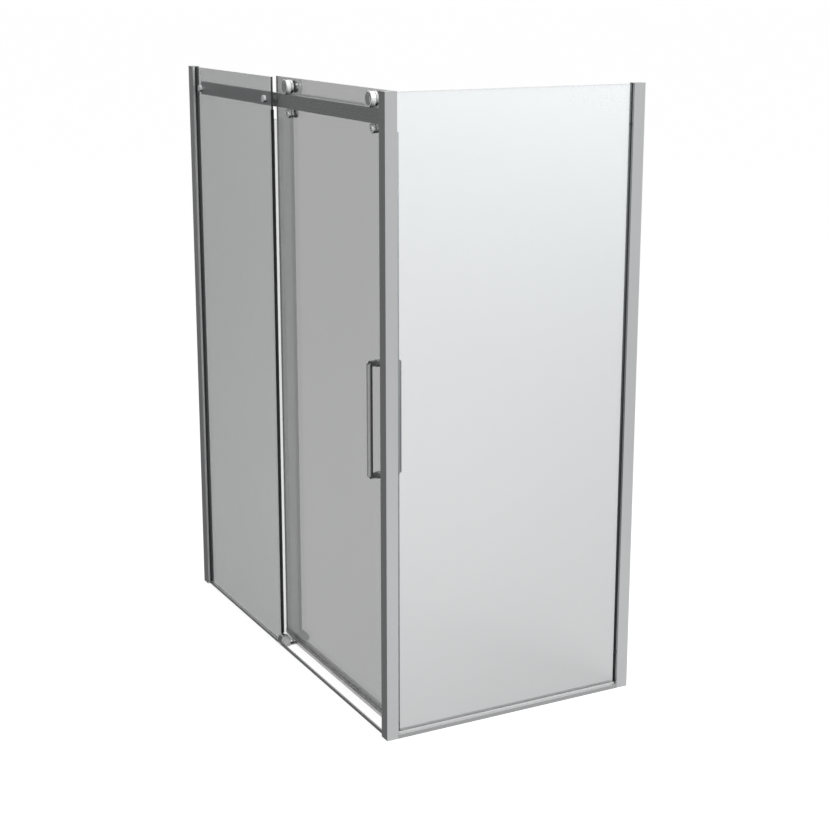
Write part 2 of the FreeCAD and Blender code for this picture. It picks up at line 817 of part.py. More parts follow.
def connectors():
    """Two bolted connectors that hang the rail on the fixed pane."""
    spread = CONNECTOR_WALL_S - CONNECTOR_EDGE_S
    bolt = D.connector_bolt_diameter / 2
    radius = D.connector_cap_diameter / 2
    bevel = D.connector_cap_bevel
    back = D.glass_inset - D.grommet_flange
    face = back - D.connector_cap_thickness
    bolt_start = back - D.connector_bolt_grip
    spacer_start = GLASS_BACK + D.grommet_flange
    spacer = D.connector_spacer_diameter / 2
    outlines = {
        "connector_caps": Outline(
            (0, face), (radius - bevel, face), (radius, face + bevel), (radius, back),
            (bolt, back), (bolt, bolt_start), (0, bolt_start),
        ),
        "connector_bolts": rectangle(0, bolt_start, bolt, RAIL_BACK),
        "connector_grommets": grommet(
            D.glass_inset, D.glass_thickness, D.grommet_flange,
            D.connector_spacer_diameter, D.connector_bolt_diameter,
        ),
        "connector_spacers": rectangle(bolt, spacer_start, spacer, RAIL_FRONT),
    }
    for node, outline in outlines.items():
        piece = SubPart(node, CONNECTOR_WALL_S, 0, RAIL_MID)
        piece.repeat([piece.turned(outline)], ROLE_X, spread)


def open_stop():
    """The stop behind the rail's left end, with the buffer that meets the door's edge."""
    depth = DOOR_BACK - RAIL_BACK + D.stop_bevel
    height = D.stop_height
    thick = D.stop_thickness
    bevel = D.stop_bevel
    left = RAIL_LEFT - D.stop_setback
    face = left - thick
    block = SubPart("rail_stop", left, RAIL_BACK, RAIL_MID - height / 2)
    block.pad("XY", height, Outline(
        (0, 0), (thick, 0), (thick, depth), (bevel, depth), (0, depth - bevel),
    ))
    buffer = SubPart("rail_stop_buffer", face, 0, 0)
    buffer.pad("YZ", D.buffer_thickness, Ring(DOOR_MID, RAIL_MID, D.buffer_diameter))
    buffer.chamfer(D.buffer_bevel, circle_at(X_AXIS, D.buffer_thickness))


# ---- strike and bottom guide ---------------------------------------------------------


def strike():
    """The strike on the post that meets the closed door, and its magnetic strip."""
    mid = DOOR_MID
    inner = D.magnet_width / 2
    outer = inner + D.strike_lip
    root = D.strike_depth - D.strike_plate
    height = RAIL_FOOT - D.strike_top_gap - D.strike_foot
    profile = SubPart("strike_profile", STRIKE_FACE, 0, D.strike_foot)
    profile.pad("XY", height, Outline(
        (root, mid - outer - D.strike_flange), (D.strike_depth, mid - outer - D.strike_flange),
        (D.strike_depth, mid + outer), (0, mid + outer), (0, mid + inner),
        (root, mid + inner), (root, mid - inner), (0, mid - inner), (0, mid - outer),
        (root, mid - outer),
    ))
    magnet = SubPart("strike_magnet", STRIKE_FACE, 0, D.strike_foot)
    magnet.pad("XY", height, rectangle(0, mid - inner, root, mid + inner))


def bottom_guide():
    """The floor drum at the fixed pane's free edge, and the fork that guides the door."""
    radius = D.guide_diameter / 2
    left = FIXED_EDGE - D.guide_glass_gap
    body = SubPart("guide_drum", left, 0, 0)
    body.pad("YZ", D.guide_length, Ring(GLASS_MID, radius, D.guide_diameter))
    body.chamfer(D.guide_bevel, circle_at(X_AXIS, D.guide_length))
    sill_back = D.glass_inset + D.sill_clearance
    arm_end = fork_front() + fork_width() + D.fork_lip
    arm_start = (D.guide_length - D.guide_arm_width) / 2
    body.pad("XY", D.guide_foot_height, rectangle(
        0, sill_back, D.guide_length, GLASS_BACK + radius / 2,
    ))
    body.pad("XY", D.guide_foot_height, rectangle(
        arm_start, GLASS_BACK, arm_start + D.guide_arm_width, arm_end,
    ))
    tongue_foot = radius - D.guide_tongue_height / 2
    body.pad("YZ", D.guide_tongue_length + D.guide_length / 2, rectangle(
        GLASS_BACK, tongue_foot, GLASS_BACK + D.guide_tongue_thickness,
        tongue_foot + D.guide_tongue_height,
    ), lift=-D.guide_tongue_length)
    body.pocket("YZ", D.guide_length, rectangle(
        0, 0, sill_back, D.sill_height + D.sill_clearance,
    ))
    ring = D.guide_ring_diameter
    body.pocket(
        "YZ", D.guide_ring_depth,
        Ring(GLASS_MID, radius, ring),
        Ring(GLASS_MID, radius, ring - D.guide_ring_width * 2),
        lift=D.guide_length, back=True,
    )

    front = fork_front()
    width = fork_width()
    lip = D.fork_lip
    base = D.guide_foot_height
    top = base + D.fork_height
    fork_left = left - (D.guide_length - D.fork_length) / 2
    fork = SubPart("guide_fork", fork_left, 0, 0)
    fork.pad("YZ", D.fork_length, Outline(
        (front - lip, base), (front + width + lip, base), (front + width + lip, top),
        (front + width, top), (front + width, base + D.fork_base),
        (front, base + D.fork_base), (front, top), (front - lip, top),
    ))


def fork_front():
    """Depth of the fork's front inner face, clear of the door's bottom seal."""
    return DOOR_FRONT - D.clip_thickness - D.fork_clearance


def fork_width():
    """Inner width of the fork."""
    return D.glass_thickness + (D.clip_thickness + D.fork_clearance) * 2


# ---- door ----------------------------------------------------------------------------


def door_pane():
    """The sliding pane with its holes, the magnetic seal and the drip seal."""
    foot = D.door_floor_gap
    pane = SubPart("door_glass", DOOR_TRAIL, DOOR_FRONT, foot)
    handle_u = DOOR_TRAIL - HANDLE_S
    half_pitch = D.handle_pitch / 2
    places = [
        (DOOR_TRAIL - ROLLER_LEFT_S, ROLLER_Z), (DOOR_TRAIL - ROLLER_RIGHT_S, ROLLER_Z),
        (DOOR_TRAIL - ROLLER_LEFT_S, LIFT_Z), (DOOR_TRAIL - ROLLER_RIGHT_S, LIFT_Z),
        (handle_u, D.handle_height - half_pitch), (handle_u, D.handle_height + half_pitch),
    ]
    pane.pad(
        "XZ", D.glass_thickness,
        rectangle(0, 0, DOOR_WIDTH, PANE_TOP - foot),
        *[Ring(u, z - foot, D.glass_hole_diameter) for u, z in places],
    )
    pane.chamfer(D.glass_arris, straight_rim(Y_AXIS))

    leg = D.clip_leg
    thick = D.clip_thickness
    back = D.glass_thickness
    nose = leg + thick + D.magnet_nose
    near = back / 2 - D.magnet_width / 2
    far = back / 2 + D.magnet_width / 2
    seal = SubPart("door_magnet_seal", DOOR_LEAD + leg, DOOR_FRONT, foot)
    seal.pad("XY", RAIL_FOOT - D.strike_top_gap - foot, Outline(
        (0, -thick), (leg + thick, -thick), (leg + thick, near), (nose, near), (nose, far),
        (leg + thick, far), (leg + thick, back + thick), (0, back + thick), (0, back),
        (leg, back), (leg, 0), (0, 0),
    ))

    length = DOOR_WIDTH - leg - D.closing_gap
    fin = D.fin_thickness
    grip = D.drip_clip_leg
    drop = D.door_floor_gap - D.drip_floor_gap
    drip = SubPart("door_drip_seal", DOOR_TRAIL, DOOR_FRONT, foot)
    drip.pad("YZ", length, Outline(
        (-thick, -thick), (-thick / 2, -thick), (-thick / 2, -drop), (fin - thick / 2, -drop),
        (fin - thick / 2, -thick), (back + thick / 2 - fin, -thick),
        (back + thick / 2 - fin, -drop), (back + thick / 2, -drop), (back + thick / 2, -thick),
        (back + thick, -thick), (back + thick, grip), (back, grip), (back, 0), (0, 0),
        (0, grip), (-thick, grip),
    ))


def roller_wheels():
    """The two grooved rollers on the rail: wheel, tread, cover and bearing of each."""
    gap = D.running_gap
    groove_front = RAIL_FRONT - gap
    groove_back = RAIL_BACK + gap
    face = groove_front - D.roller_flange_thickness
    back = groove_back + D.roller_flange_thickness
    rim = D.roller_radius + D.roller_flange
    core = D.roller_radius - D.tread_thickness
    bevel = D.roller_bevel
    cover = D.cover_diameter / 2
    dome = D.cover_dome_diameter / 2
    seat = face + D.cover_step
    bearing = D.bearing_diameter / 2
    bearing_front = RAIL_FRONT + D.cover_step
    bearing_back = bearing_front + D.bearing_width
    ring = D.bearing_ring
    shield = ring / 4
    bore = D.axle_diameter / 2 + D.axle_clearance
    outlines = {
        "roller_wheel": Outline(
            (bearing, seat), (cover, seat), (cover, face), (rim - bevel, face),
            (rim, face + bevel), (rim, groove_front), (core, groove_front),
            (core, groove_back), (rim, groove_back), (rim, back - bevel),
            (rim - bevel, back), (bearing, back),
        ),
        "roller_tread": Outline(
            (core, groove_front), (D.roller_radius - bevel, groove_front),
            (D.roller_radius, groove_front + bevel), (D.roller_radius, groove_back - bevel),
            (D.roller_radius - bevel, groove_back), (core, groove_back),
        ),
        "roller_cover": Outline(
            (0, face - bevel), (dome - bevel, face - bevel), (dome, face),
            (cover - bevel, face), (cover, face + bevel), (cover, seat), (0, seat),
        ),
        "roller_bearing": Outline(
            (bore, bearing_front), (bore + ring, bearing_front),
            (bore + ring, bearing_front + shield), (bearing - ring, bearing_front + shield),
            (bearing - ring, bearing_front), (bearing, bearing_front),
            (bearing, bearing_back), (bearing - ring, bearing_back),
            (bearing - ring, bearing_back - shield), (bore + ring, bearing_back - shield),
            (bore + ring, bearing_back), (bore, bearing_back),
        ),
    }
    for side, s in (("left", ROLLER_LEFT_S), ("right", ROLLER_RIGHT_S)):
        for node, outline in outlines.items():
            SubPart(f"{node}_{side}", s, 0, ROLLER_Z).turned(outline)


def roller_mounts():
    """The axles, hubs, bushes and inner caps that carry the rollers on the door pane."""
    gap = D.running_gap
    axle = D.axle_diameter / 2
    bearing_front = RAIL_FRONT + D.cover_step
    head_back = bearing_front - gap
    head_front = head_back - D.axle_head_height
    bearing_back = bearing_front + D.bearing_width
    wheel_back = RAIL_BACK + gap + D.roller_flange_thickness
    disc_front = wheel_back + D.hub_gap
    disc_back = disc_front + D.hub_thickness
    neck_back = DOOR_FRONT - D.grommet_flange
    rim = D.roller_radius + D.roller_flange - D.roller_bevel * 2
    neck = D.hub_neck_diameter / 2
    cap_front = DOOR_BACK + D.grommet_flange
    cap_back = cap_front + D.inner_cap_thickness
    cap = D.inner_cap_diameter / 2
    grip = cap_front + D.inner_cap_grip
    outlines = {
        "roller_axles": Outline(
            (0, head_front), (D.axle_head / 2, head_front), (D.axle_head / 2, head_back),
            (axle, head_back), (axle, grip), (0, grip),
        ),
        "roller_hubs": Outline(
            (axle, bearing_back + gap), (D.axle_head / 2, bearing_back + gap),
            (D.axle_head / 2, disc_front), (rim, disc_front), (rim, disc_back),
            (neck, disc_back), (neck, neck_back), (axle, neck_back),
        ),
        "roller_grommets": grommet(
            DOOR_FRONT, D.glass_thickness, D.grommet_flange,
            D.hub_neck_diameter, D.axle_diameter,
        ),
        "roller_inner_caps": Outline(
            (axle, cap_front), (cap, cap_front), (cap, cap_back - D.inner_cap_round),
            (cap - D.inner_cap_round, cap_back), (0, cap_back), (0, grip), (axle, grip),
        ),
    }
    for node, outline in outlines.items():
        piece = SubPart(node, ROLLER_LEFT_S, 0, ROLLER_Z)
        piece.repeat([piece.turned(outline)], ROLE_X, ROLLER_SPACING)


def lift_wheels():
    """The two small wheels under the rail that keep the door from lifting off."""
    gap = D.running_gap
    bolt = D.lift_bolt_diameter / 2
    rim = D.lift_diameter / 2
    back = LIFT_FRONT + D.lift_thickness
    bevel = D.roller_bevel
    wheel = Outline(
        (bolt + D.axle_clearance, LIFT_FRONT), (rim - bevel, LIFT_FRONT),
        (rim, LIFT_FRONT + bevel), (rim, back - bevel), (rim - bevel, back),
        (bolt + D.axle_clearance, back),
    )
    for side, s in (("left", ROLLER_LEFT_S), ("right", ROLLER_RIGHT_S)):
        SubPart(f"lift_wheel_{side}", s, 0, LIFT_Z).turned(wheel)

    head = D.lift_bolt_head / 2
    head_back = LIFT_FRONT - gap
    head_front = head_back - D.lift_bolt_head_height
    neck = D.lift_neck_diameter / 2
    neck_back = DOOR_FRONT - D.grommet_flange
    disc_front = neck_back - D.lift_hub_thickness
    cap_front = DOOR_BACK + D.grommet_flange
    cap_back = cap_front + D.lift_cap_thickness
    grip = cap_front + D.inner_cap_grip
    outlines = {
        "lift_bolts": Outline(
            (0, head_front), (head - bevel, head_front), (head, head_front + bevel),
            (head, head_back), (bolt, head_back), (bolt, grip), (0, grip),
        ),
        "lift_hubs": Outline(
            (bolt, back + gap), (neck, back + gap), (neck, disc_front), (rim, disc_front),
            (rim, neck_back), (bolt, neck_back),
        ),
        "lift_grommets": grommet(
            DOOR_FRONT, D.glass_thickness, D.grommet_flange,
            D.lift_neck_diameter, D.lift_bolt_diameter,
        ),
        "lift_inner_caps": Outline(
            (bolt, cap_front), (rim, cap_front), (rim, cap_back - D.inner_cap_round),
            (rim - D.inner_cap_round, cap_back), (0, cap_back), (0, grip), (bolt, grip),
        ),
    }
    for node, outline in outlines.items():
        piece = SubPart(node, ROLLER_LEFT_S, 0, LIFT_Z)
        piece.repeat([piece.turned(outline)], ROLE_X, ROLLER_SPACING)


def handle_bar(node, t, turn):
    """One round bar: two legs and the grip, which meet in round corners. In its own frame
    the legs end in the plane y = 0 and the grip stands at negative y."""
    bar = SubPart(node, HANDLE_S, t, D.handle_height, turn)
    reach = D.handle_reach - D.handle_washer - D.collar_length
    half = D.handle_pitch / 2
    path = bar.sketch("YZ")
    corners = [(as_size(0), half), (-reach, half), (-reach, -half), (as_size(0), -half)]
    for start, end in zip(corners, corners[1:]):
        line = path.addGeometry(Part.LineSegment(point(start), point(end)), False)
        fix_point(path, line, 1, start[0], start[1])
        fix_point(path, line, 2, end[0], end[1])

    pipe = bar.body.newObject("PartDesign::AdditivePipe", "Pipe")
    pipe.Profile = bar.sketch("XZ", Ring(0, half, D.handle_diameter))
    pipe.Spine = path
    pipe.Transition = "Round corner"
    bolts = [Ring(0, half, D.handle_bolt_diameter), Ring(0, -half, D.handle_bolt_diameter)]
    bar.pocket("XZ", D.handle_bolt_grip, *bolts, back=True)


def handles():
    """The two back-to-back handles with their collars, bushes and through-bolts."""
    stand = D.handle_washer + D.collar_length
    handle_bar("handle_outer", DOOR_FRONT - stand, None)
    handle_bar("handle_inner", DOOR_BACK + stand, HALF_TURN_Z)

    bolt = D.handle_bolt_diameter / 2
    collar = D.collar_diameter / 2
    outer_front = DOOR_FRONT - stand
    inner_front = DOOR_BACK + D.handle_washer
    outlines = {
        "handle_collars": (
            rectangle(bolt, outer_front, collar, outer_front + D.collar_length),
            rectangle(bolt, inner_front, collar, inner_front + D.collar_length),
        ),
        "handle_grommets": (grommet(
            DOOR_FRONT, D.glass_thickness, D.handle_washer,
            D.handle_washer_diameter, D.handle_bolt_diameter,
        ),),
        "handle_bolts": (rectangle(
            0, outer_front - D.handle_bolt_grip,
            bolt, inner_front + D.collar_length + D.handle_bolt_grip,
        ),),
    }
    foot = D.handle_height - D.handle_pitch / 2
    for node, loops in outlines.items():
        piece = SubPart(node, HANDLE_S, 0, foot)
        piece.repeat([piece.turned(*loops)], ROLE_Z, D.handle_pitch)


# ---- assembly ------------------------------------------------------------------------


def build():
    """Makes every sub-part in the document."""
    wall_run("front", D.enclosure_length, 0, None)
    wall_run("side", 0, D.enclosure_width, BACK_WALL_TURN)
    channel_cap("front", D.enclosure_length, 0, None)
    channel_cap("side", D.wall_profile_depth, D.enclosure_width, QUARTER_TURN_BACK)
    corner_post()
    side_run()
    fixed_pane()
    sill()
    rail()
    connectors()
    open_stop()
    strike()
    bottom_guide()
    door_pane()
    roller_wheels()
    roller_mounts()
    lift_wheels()
    handles()


def check_document():
    """Stops if any object failed or any sub-part has no sound solid."""
    for item in DOC.Objects:
        if "Invalid" in item.State or "Error" in item.State:
            raise RuntimeError(f"{item.Label} failed: {item.State}")
    for body in SUB_PARTS:
        shape = body.Shape
        if shape.isNull() or not shape.isValid() or not shape.Solids:
            raise RuntimeError(f"{body.Label} has no valid solid")


def export():
    """Writes one STEP file for each sub-part."""
    os.makedirs("parts", exist_ok=True)
    for body in SUB_PARTS:
        body.Shape.exportStep(f"parts/{body.Label}.step")


build()
DOC.recompute()
check_document()
export()
print(f"{len(SUB_PARTS)} sub-parts, {sum(len(body.Shape.Solids) for body in SUB_PARTS)} solids")
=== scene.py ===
"""The looks of a corner shower enclosure with one sliding door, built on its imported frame.

Lengths are metres in the frame's own coordinates: +Z is up, the front run with the door stands
at low Y, and the side pane stands at high X. The frame's solids stay as they are. Each one gets
its finish here, and small pieces that are too fine for the solids are added to them.
"""

import logging
import math
from dataclasses import dataclass
from enum import Enum

import bmesh
import bpy
from mathutils import Matrix, Vector


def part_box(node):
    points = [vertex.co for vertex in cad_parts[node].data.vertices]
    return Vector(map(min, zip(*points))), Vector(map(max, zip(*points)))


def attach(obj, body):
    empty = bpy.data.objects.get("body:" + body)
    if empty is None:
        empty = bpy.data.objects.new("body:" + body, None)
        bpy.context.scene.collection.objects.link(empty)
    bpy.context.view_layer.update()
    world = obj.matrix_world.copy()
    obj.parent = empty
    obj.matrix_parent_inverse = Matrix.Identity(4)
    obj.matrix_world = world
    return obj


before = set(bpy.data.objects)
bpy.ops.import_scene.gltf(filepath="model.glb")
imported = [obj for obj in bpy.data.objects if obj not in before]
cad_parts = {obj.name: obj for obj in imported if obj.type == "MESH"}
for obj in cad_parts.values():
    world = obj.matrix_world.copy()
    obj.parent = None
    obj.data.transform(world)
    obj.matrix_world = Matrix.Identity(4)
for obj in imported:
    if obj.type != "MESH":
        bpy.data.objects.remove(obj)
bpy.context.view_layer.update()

LOG = logging.getLogger("enclosure")
BEVEL_ANGLE = math.radians(50)
SHARP_ANGLE = math.radians(35)
# The watts per square metre at which an area lamp is as bright as the white background.
WHITE_POWER = 4.0

Colour = tuple[float, float, float]
Place = tuple[float, float, float]


class Axis(Enum):
    """A direction of the frame, as the index of its coordinate."""

    X = 0
    Y = 1
    Z = 2

    @property
    def unit(self) -> Vector:
        """The axis as a unit vector."""
        return Vector([1.0 if index == self.value else 0.0 for index in range(3)])


class Run(Enum):
    """One of the enclosure's two runs."""

    FRONT = ("front", Axis.X, 1.0)
    SIDE = ("side", Axis.Y, -1.0)

    def __init__(self, tag: str, screw_axis: Axis, out: float) -> None:
        """Keeps what tells the run from the other.

        Args:
            tag: The ending of the run's node names.
            screw_axis: The axis of its glazing screws.
            out: 1 if their heads look up that axis and -1 if they look down.
        """
        self.tag = tag
        self.screw_axis = screw_axis
        self.out = out


def scaled(colour: Colour, factor: float) -> Colour:
    """A colour made darker or lighter, at most as far as white."""
    return tuple(min(part * factor, 1.0) for part in colour)


class Value:
    """A number of a shader, whose arithmetic adds Math nodes."""

    def __init__(self, tree: "ShaderTree", socket: bpy.types.NodeSocket) -> None:
        """Wraps an output socket.

        Args:
            tree: The tree that the socket belongs to.
            socket: The output that carries the number.
        """
        self.tree = tree
        self.socket = socket

    def math(self, operation: str, *others: "Value | float", turned: bool = False) -> "Value":
        """Adds one Math node.

        Args:
            operation: The Math node's operation.
            others: The other operands.
            turned: Whether this value is the second operand.

        Returns:
            The node's result.
        """
        operands = [*others, self] if turned else [self, *others]
        return self.tree.add("ShaderNodeMath", {"operation": operation}, dict(enumerate(operands)))

    def __add__(self, other: "Value | float") -> "Value":
        """The sum."""
        return self.math("ADD", other)

    def __sub__(self, other: "Value | float") -> "Value":
        """The difference."""
        return self.math("SUBTRACT", other)

    def __rsub__(self, other: float) -> "Value":
        """The difference from a plain number."""
        return self.math("SUBTRACT", other, turned=True)

    def __mul__(self, other: "Value | float") -> "Value":
        """The product."""
        return self.math("MULTIPLY", other)

    def __abs__(self) -> "Value":
        """The size without its sign."""
        return self.math("ABSOLUTE")

    __radd__ = __add__
    __rmul__ = __mul__

    def above(self, edge: float, soft: float) -> "Value":
        """A mask that rises from 0 to 1 across an edge.

        Args:
            edge: The value at which the mask starts to rise.
            soft: The width over which it rises.

        Returns:
            The mask, held between 0 and 1.
        """
        return self.tree.add(
            "ShaderNodeMapRange", {"clamp": True},
            {"Value": self, "From Min": edge, "From Max": edge + soft},
        )

    def sine(self) -> "Value":
        """The sine."""
        return self.math("SINE")


class ShaderTree:
    """The node tree of one material or world."""

    def __init__(self, tree: bpy.types.NodeTree) -> None:
        """Takes over a tree and empties it.

        Args:
            tree: The node tree to fill.
        """
        self.tree = tree
        tree.nodes.clear()

    def add(
        self,
        kind: str,
        settings: dict[str, object] | None = None,
        inputs: dict[str | int, object] | None = None,
        output: str | int = 0,
    ) -> Value:
        """Adds a node of any kind.

        Args:
            kind: The node's type.
            settings: Properties of the node, which are set first.
            inputs: Values or links of its input sockets, by name or number.
            output: The output that the result stands for, by name or number.

        Returns:
            The chosen output.
        """
        node = self.tree.nodes.new(kind)
        for name, setting in (settings or {}).items():
            setattr(node, name, setting)
        for name, given in (inputs or {}).items():
            if isinstance(given, Value):
                self.tree.links.new(given.socket, node.inputs[name])
            else:
                node.inputs[name].default_value = given
        sockets = node.outputs
        return Value(self, sockets[output]) if len(sockets) else Value(self, node.inputs[0])

    def place(self, scale: Place, offset: Place = (0.0, 0.0, 0.0)) -> Value:
        """The object's own coordinates, moved and then scaled along each axis.

        Args:
            scale: The factor along each axis, per metre.
            offset: What is taken from the coordinates first, in metres.

        Returns:
            The coordinates as a vector.
        """
        plain = self.add("ShaderNodeTexCoord", output="Object")
        moved = self.add(
            "ShaderNodeVectorMath", {"operation": "SUBTRACT"}, {0: plain, 1: offset}
        )
        return self.add("ShaderNodeVectorMath", {"operation": "MULTIPLY"}, {0: moved, 1: scale})

    def grain(self, scale: Place, detail: float = 2.0) -> Value:
        """Smooth noise between 0 and 1, stretched to a scale along each axis.

        Args:
            scale: Noise features per metre along each axis.
            detail: Octaves of finer noise.

        Returns:
            The noise.
        """
        return self.add(
            "ShaderNodeTexNoise", {"noise_dimensions": "3D"},
            {"Vector": self.place(scale), "Scale": 1.0, "Detail": detail, "Roughness": 0.55},
        )

    def blend(self, share: Value, first: "Colour | Value", second: Colour) -> Value:
        """A colour between two colours.

        Args:
            share: 0 for the first colour and 1 for the second.
            first: The first colour, plain or from the tree.
            second: The second colour.

        Returns:
            The mixed colour.
        """
        start = first if isinstance(first, Value) else (*first, 1.0)
        return self.add(
            "ShaderNodeMix", {"data_type": "RGBA"},
            {0: share, 6: start, 7: (*second, 1.0)}, output=2,
        )

    def bump(self, height: Value, depth: float, strength: float = 1.0) -> Value:
        """A surface normal that follows a height.

        Args:
            height: The height, between 0 and 1.
            depth: How far a height of 1 stands out, in metres.
            strength: The share of the bump that is used.

        Returns:
            The normal.
        """
        return self.add(
            "ShaderNodeBump", None,
            {"Height": height, "Distance": depth, "Strength": strength}, output="Normal",
        )

    def radius(self, axis: Axis, centre: Vector) -> Value:
        """The distance from a line along an axis.

        Args:
            axis: The line's direction.
            centre: A point on the line, in metres.

        Returns:
            The distance in metres.
        """
        flat = tuple(0.0 if index == axis.value else 1.0 for index in range(3))
        across = self.place(flat, tuple(centre))
        return self.add(
            "ShaderNodeVectorMath", {"operation": "LENGTH"}, {0: across}, output="Value"
        )

    def part_of(self, vector: Value, axis: Axis) -> Value:
        """One coordinate of a vector."""
        return self.add("ShaderNodeSeparateXYZ", None, {0: vector}, output=axis.value)

    def along(self, axis: Axis) -> Value:
        """The object's own coordinate along an axis, in metres."""
        return self.part_of(self.add("ShaderNodeTexCoord", output="Object"), axis)

    def turned_to(self, direction: Place) -> Value:
        """How far the surface is turned towards a direction.

        Args:
            direction: The direction, as a vector of length 1.

        Returns:
            The cosine between the surface's normal and the direction.
        """
        normal = self.add("ShaderNodeTexCoord", output="Normal")
        return self.add(
            "ShaderNodeVectorMath", {"operation": "DOT_PRODUCT"}, {0: normal, 1: direction},
            output="Value",
        )

    def surface(self, shader: Value) -> None:
        """Connects a shader to the tree's output."""
        self.add("ShaderNodeOutputMaterial", None, {"Surface": shader})

    def principled(self, **inputs: object) -> None:
        """Makes the whole surface one Principled shader, with underscores for spaces."""
        named = {name.replace("_", " "): given for name, given in inputs.items()}
        self.surface(self.add("ShaderNodeBsdfPrincipled", None, named))


@dataclass(frozen=True)
class Finish:
    """A finish, whose material is made when it is first asked for.

    Attributes:
        name: The material's name.
    """

    name: str

    def material(self) -> bpy.types.Material:
        """The finish's material, made once and shared after that."""
        made = bpy.data.materials.get(self.name)
        if made is None:
            made = bpy.data.materials.new(self.name)
            made.use_nodes = True
            self.paint(ShaderTree(made.node_tree))
        return made

    def paint(self, tree: ShaderTree) -> None:
        """Fills the material's node tree."""
        raise NotImplementedError


@dataclass(frozen=True)
class Extruded(Finish):
    """Satin anodised aluminium with the fine draw lines of an extrusion.

    Attributes:
        along: The direction that the profile was drawn in.
        tone: The metal's colour.
        roughness: The mean roughness.
    """

    along: Axis = Axis.Z
    tone: Colour = (0.50, 0.505, 0.51)
    roughness: float = 0.30

    def paint(self, tree: ShaderTree) -> None:
        """Draw lines along the profile, over a soft cloud of the anodising."""
        scale = [420.0, 420.0, 420.0]
        scale[self.along.value] = 1.5
        lines = tree.grain(tuple(scale), detail=3.0)
        cloud = tree.grain((9.0, 9.0, 9.0))
        dim, bright = scaled(self.tone, 0.93), scaled(self.tone, 1.06)
        tree.principled(
            Base_Color=tree.blend(lines * 0.6 + cloud * 0.4, dim, bright),
            Metallic=0.72,
            Roughness=lines * 0.08 + cloud * 0.06 + (self.roughness - 0.07),
            Normal=tree.bump(lines, 0.00002, 0.6),
        )


@dataclass(frozen=True)
class Brushed(Finish):
    """Brushed stainless steel.

    Attributes:
        along: The direction of the brush lines.
        tone: The metal's colour.
        roughness: The mean roughness.
    """

    along: Axis = Axis.X
    tone: Colour = (0.46, 0.465, 0.47)
    roughness: float = 0.27

    def paint(self, tree: ShaderTree) -> None:
        """Short brush lines of two lengths."""
        fine = [1800.0, 1800.0, 1800.0]
        fine[self.along.value] = 14.0
        wide = [300.0, 300.0, 300.0]
        wide[self.along.value] = 2.0
        lines = tree.grain(tuple(fine), detail=2.0)
        bands = tree.grain(tuple(wide), detail=2.0)
        dim, bright = scaled(self.tone, 0.96), scaled(self.tone, 1.04)
        tree.principled(
            Base_Color=tree.blend(lines * 0.5 + bands * 0.5, dim, bright),
            Metallic=1.0,
            Roughness=lines * 0.08 + bands * 0.03 + (self.roughness - 0.05),
            Normal=tree.bump(lines, 0.00001, 0.25),
        )


@dataclass(frozen=True)
class Polished(Finish):
    """Polished stainless steel with faint wiping marks.

    Attributes:
        tone: The metal's colour.
        roughness: The roughness of the clean metal.
    """

    tone: Colour = (0.93, 0.935, 0.94)
    roughness: float = 0.06

    def paint(self, tree: ShaderTree) -> None:
        """Soft smears that dull the polish a little."""
        smears = tree.grain((60.0, 60.0, 14.0), detail=3.0).above(0.45, 0.35)
        specks = tree.grain((900.0, 900.0, 900.0), detail=1.0)
        tree.principled(
            Base_Color=tree.blend(smears, self.tone, scaled(self.tone, 0.94)),
            Metallic=1.0,
            Roughness=smears * 0.07 + specks * 0.02 + self.roughness,
        )


@dataclass(frozen=True)
class Turned(Finish):
    """Metal turned on a lathe, with fine rings about its axis.

    Attributes:
        axis: The direction of the turning axis.
        centre: A point on that axis.
        tone: The metal's colour.
        roughness: The mean roughness.
        metallic: The share of mirror against a pale satin.
        pitch: The spacing of the rings, in metres.
    """

    axis: Axis = Axis.Y
    centre: Place = (0.0, 0.0, 0.0)
    tone: Colour = (0.95, 0.955, 0.96)
    roughness: float = 0.12
    metallic: float = 0.9
    pitch: float = 0.0006

    def paint(self, tree: ShaderTree) -> None:
        """Rings of equal pitch, with a little unevenness between them."""
        radius = tree.radius(self.axis, Vector(self.centre))
        rings = (radius * (math.tau / self.pitch)).sine() * 0.5 + 0.5
        cloud = tree.grain((70.0, 70.0, 70.0))
        tree.principled(
            Base_Color=tree.blend(rings * 0.5 + cloud * 0.5, scaled(self.tone, 0.90), self.tone),
            Metallic=self.metallic,
            Roughness=rings * 0.05 + cloud * 0.06 + (self.roughness - 0.05),
            Normal=tree.bump(rings, 0.00002, 0.35),
        )


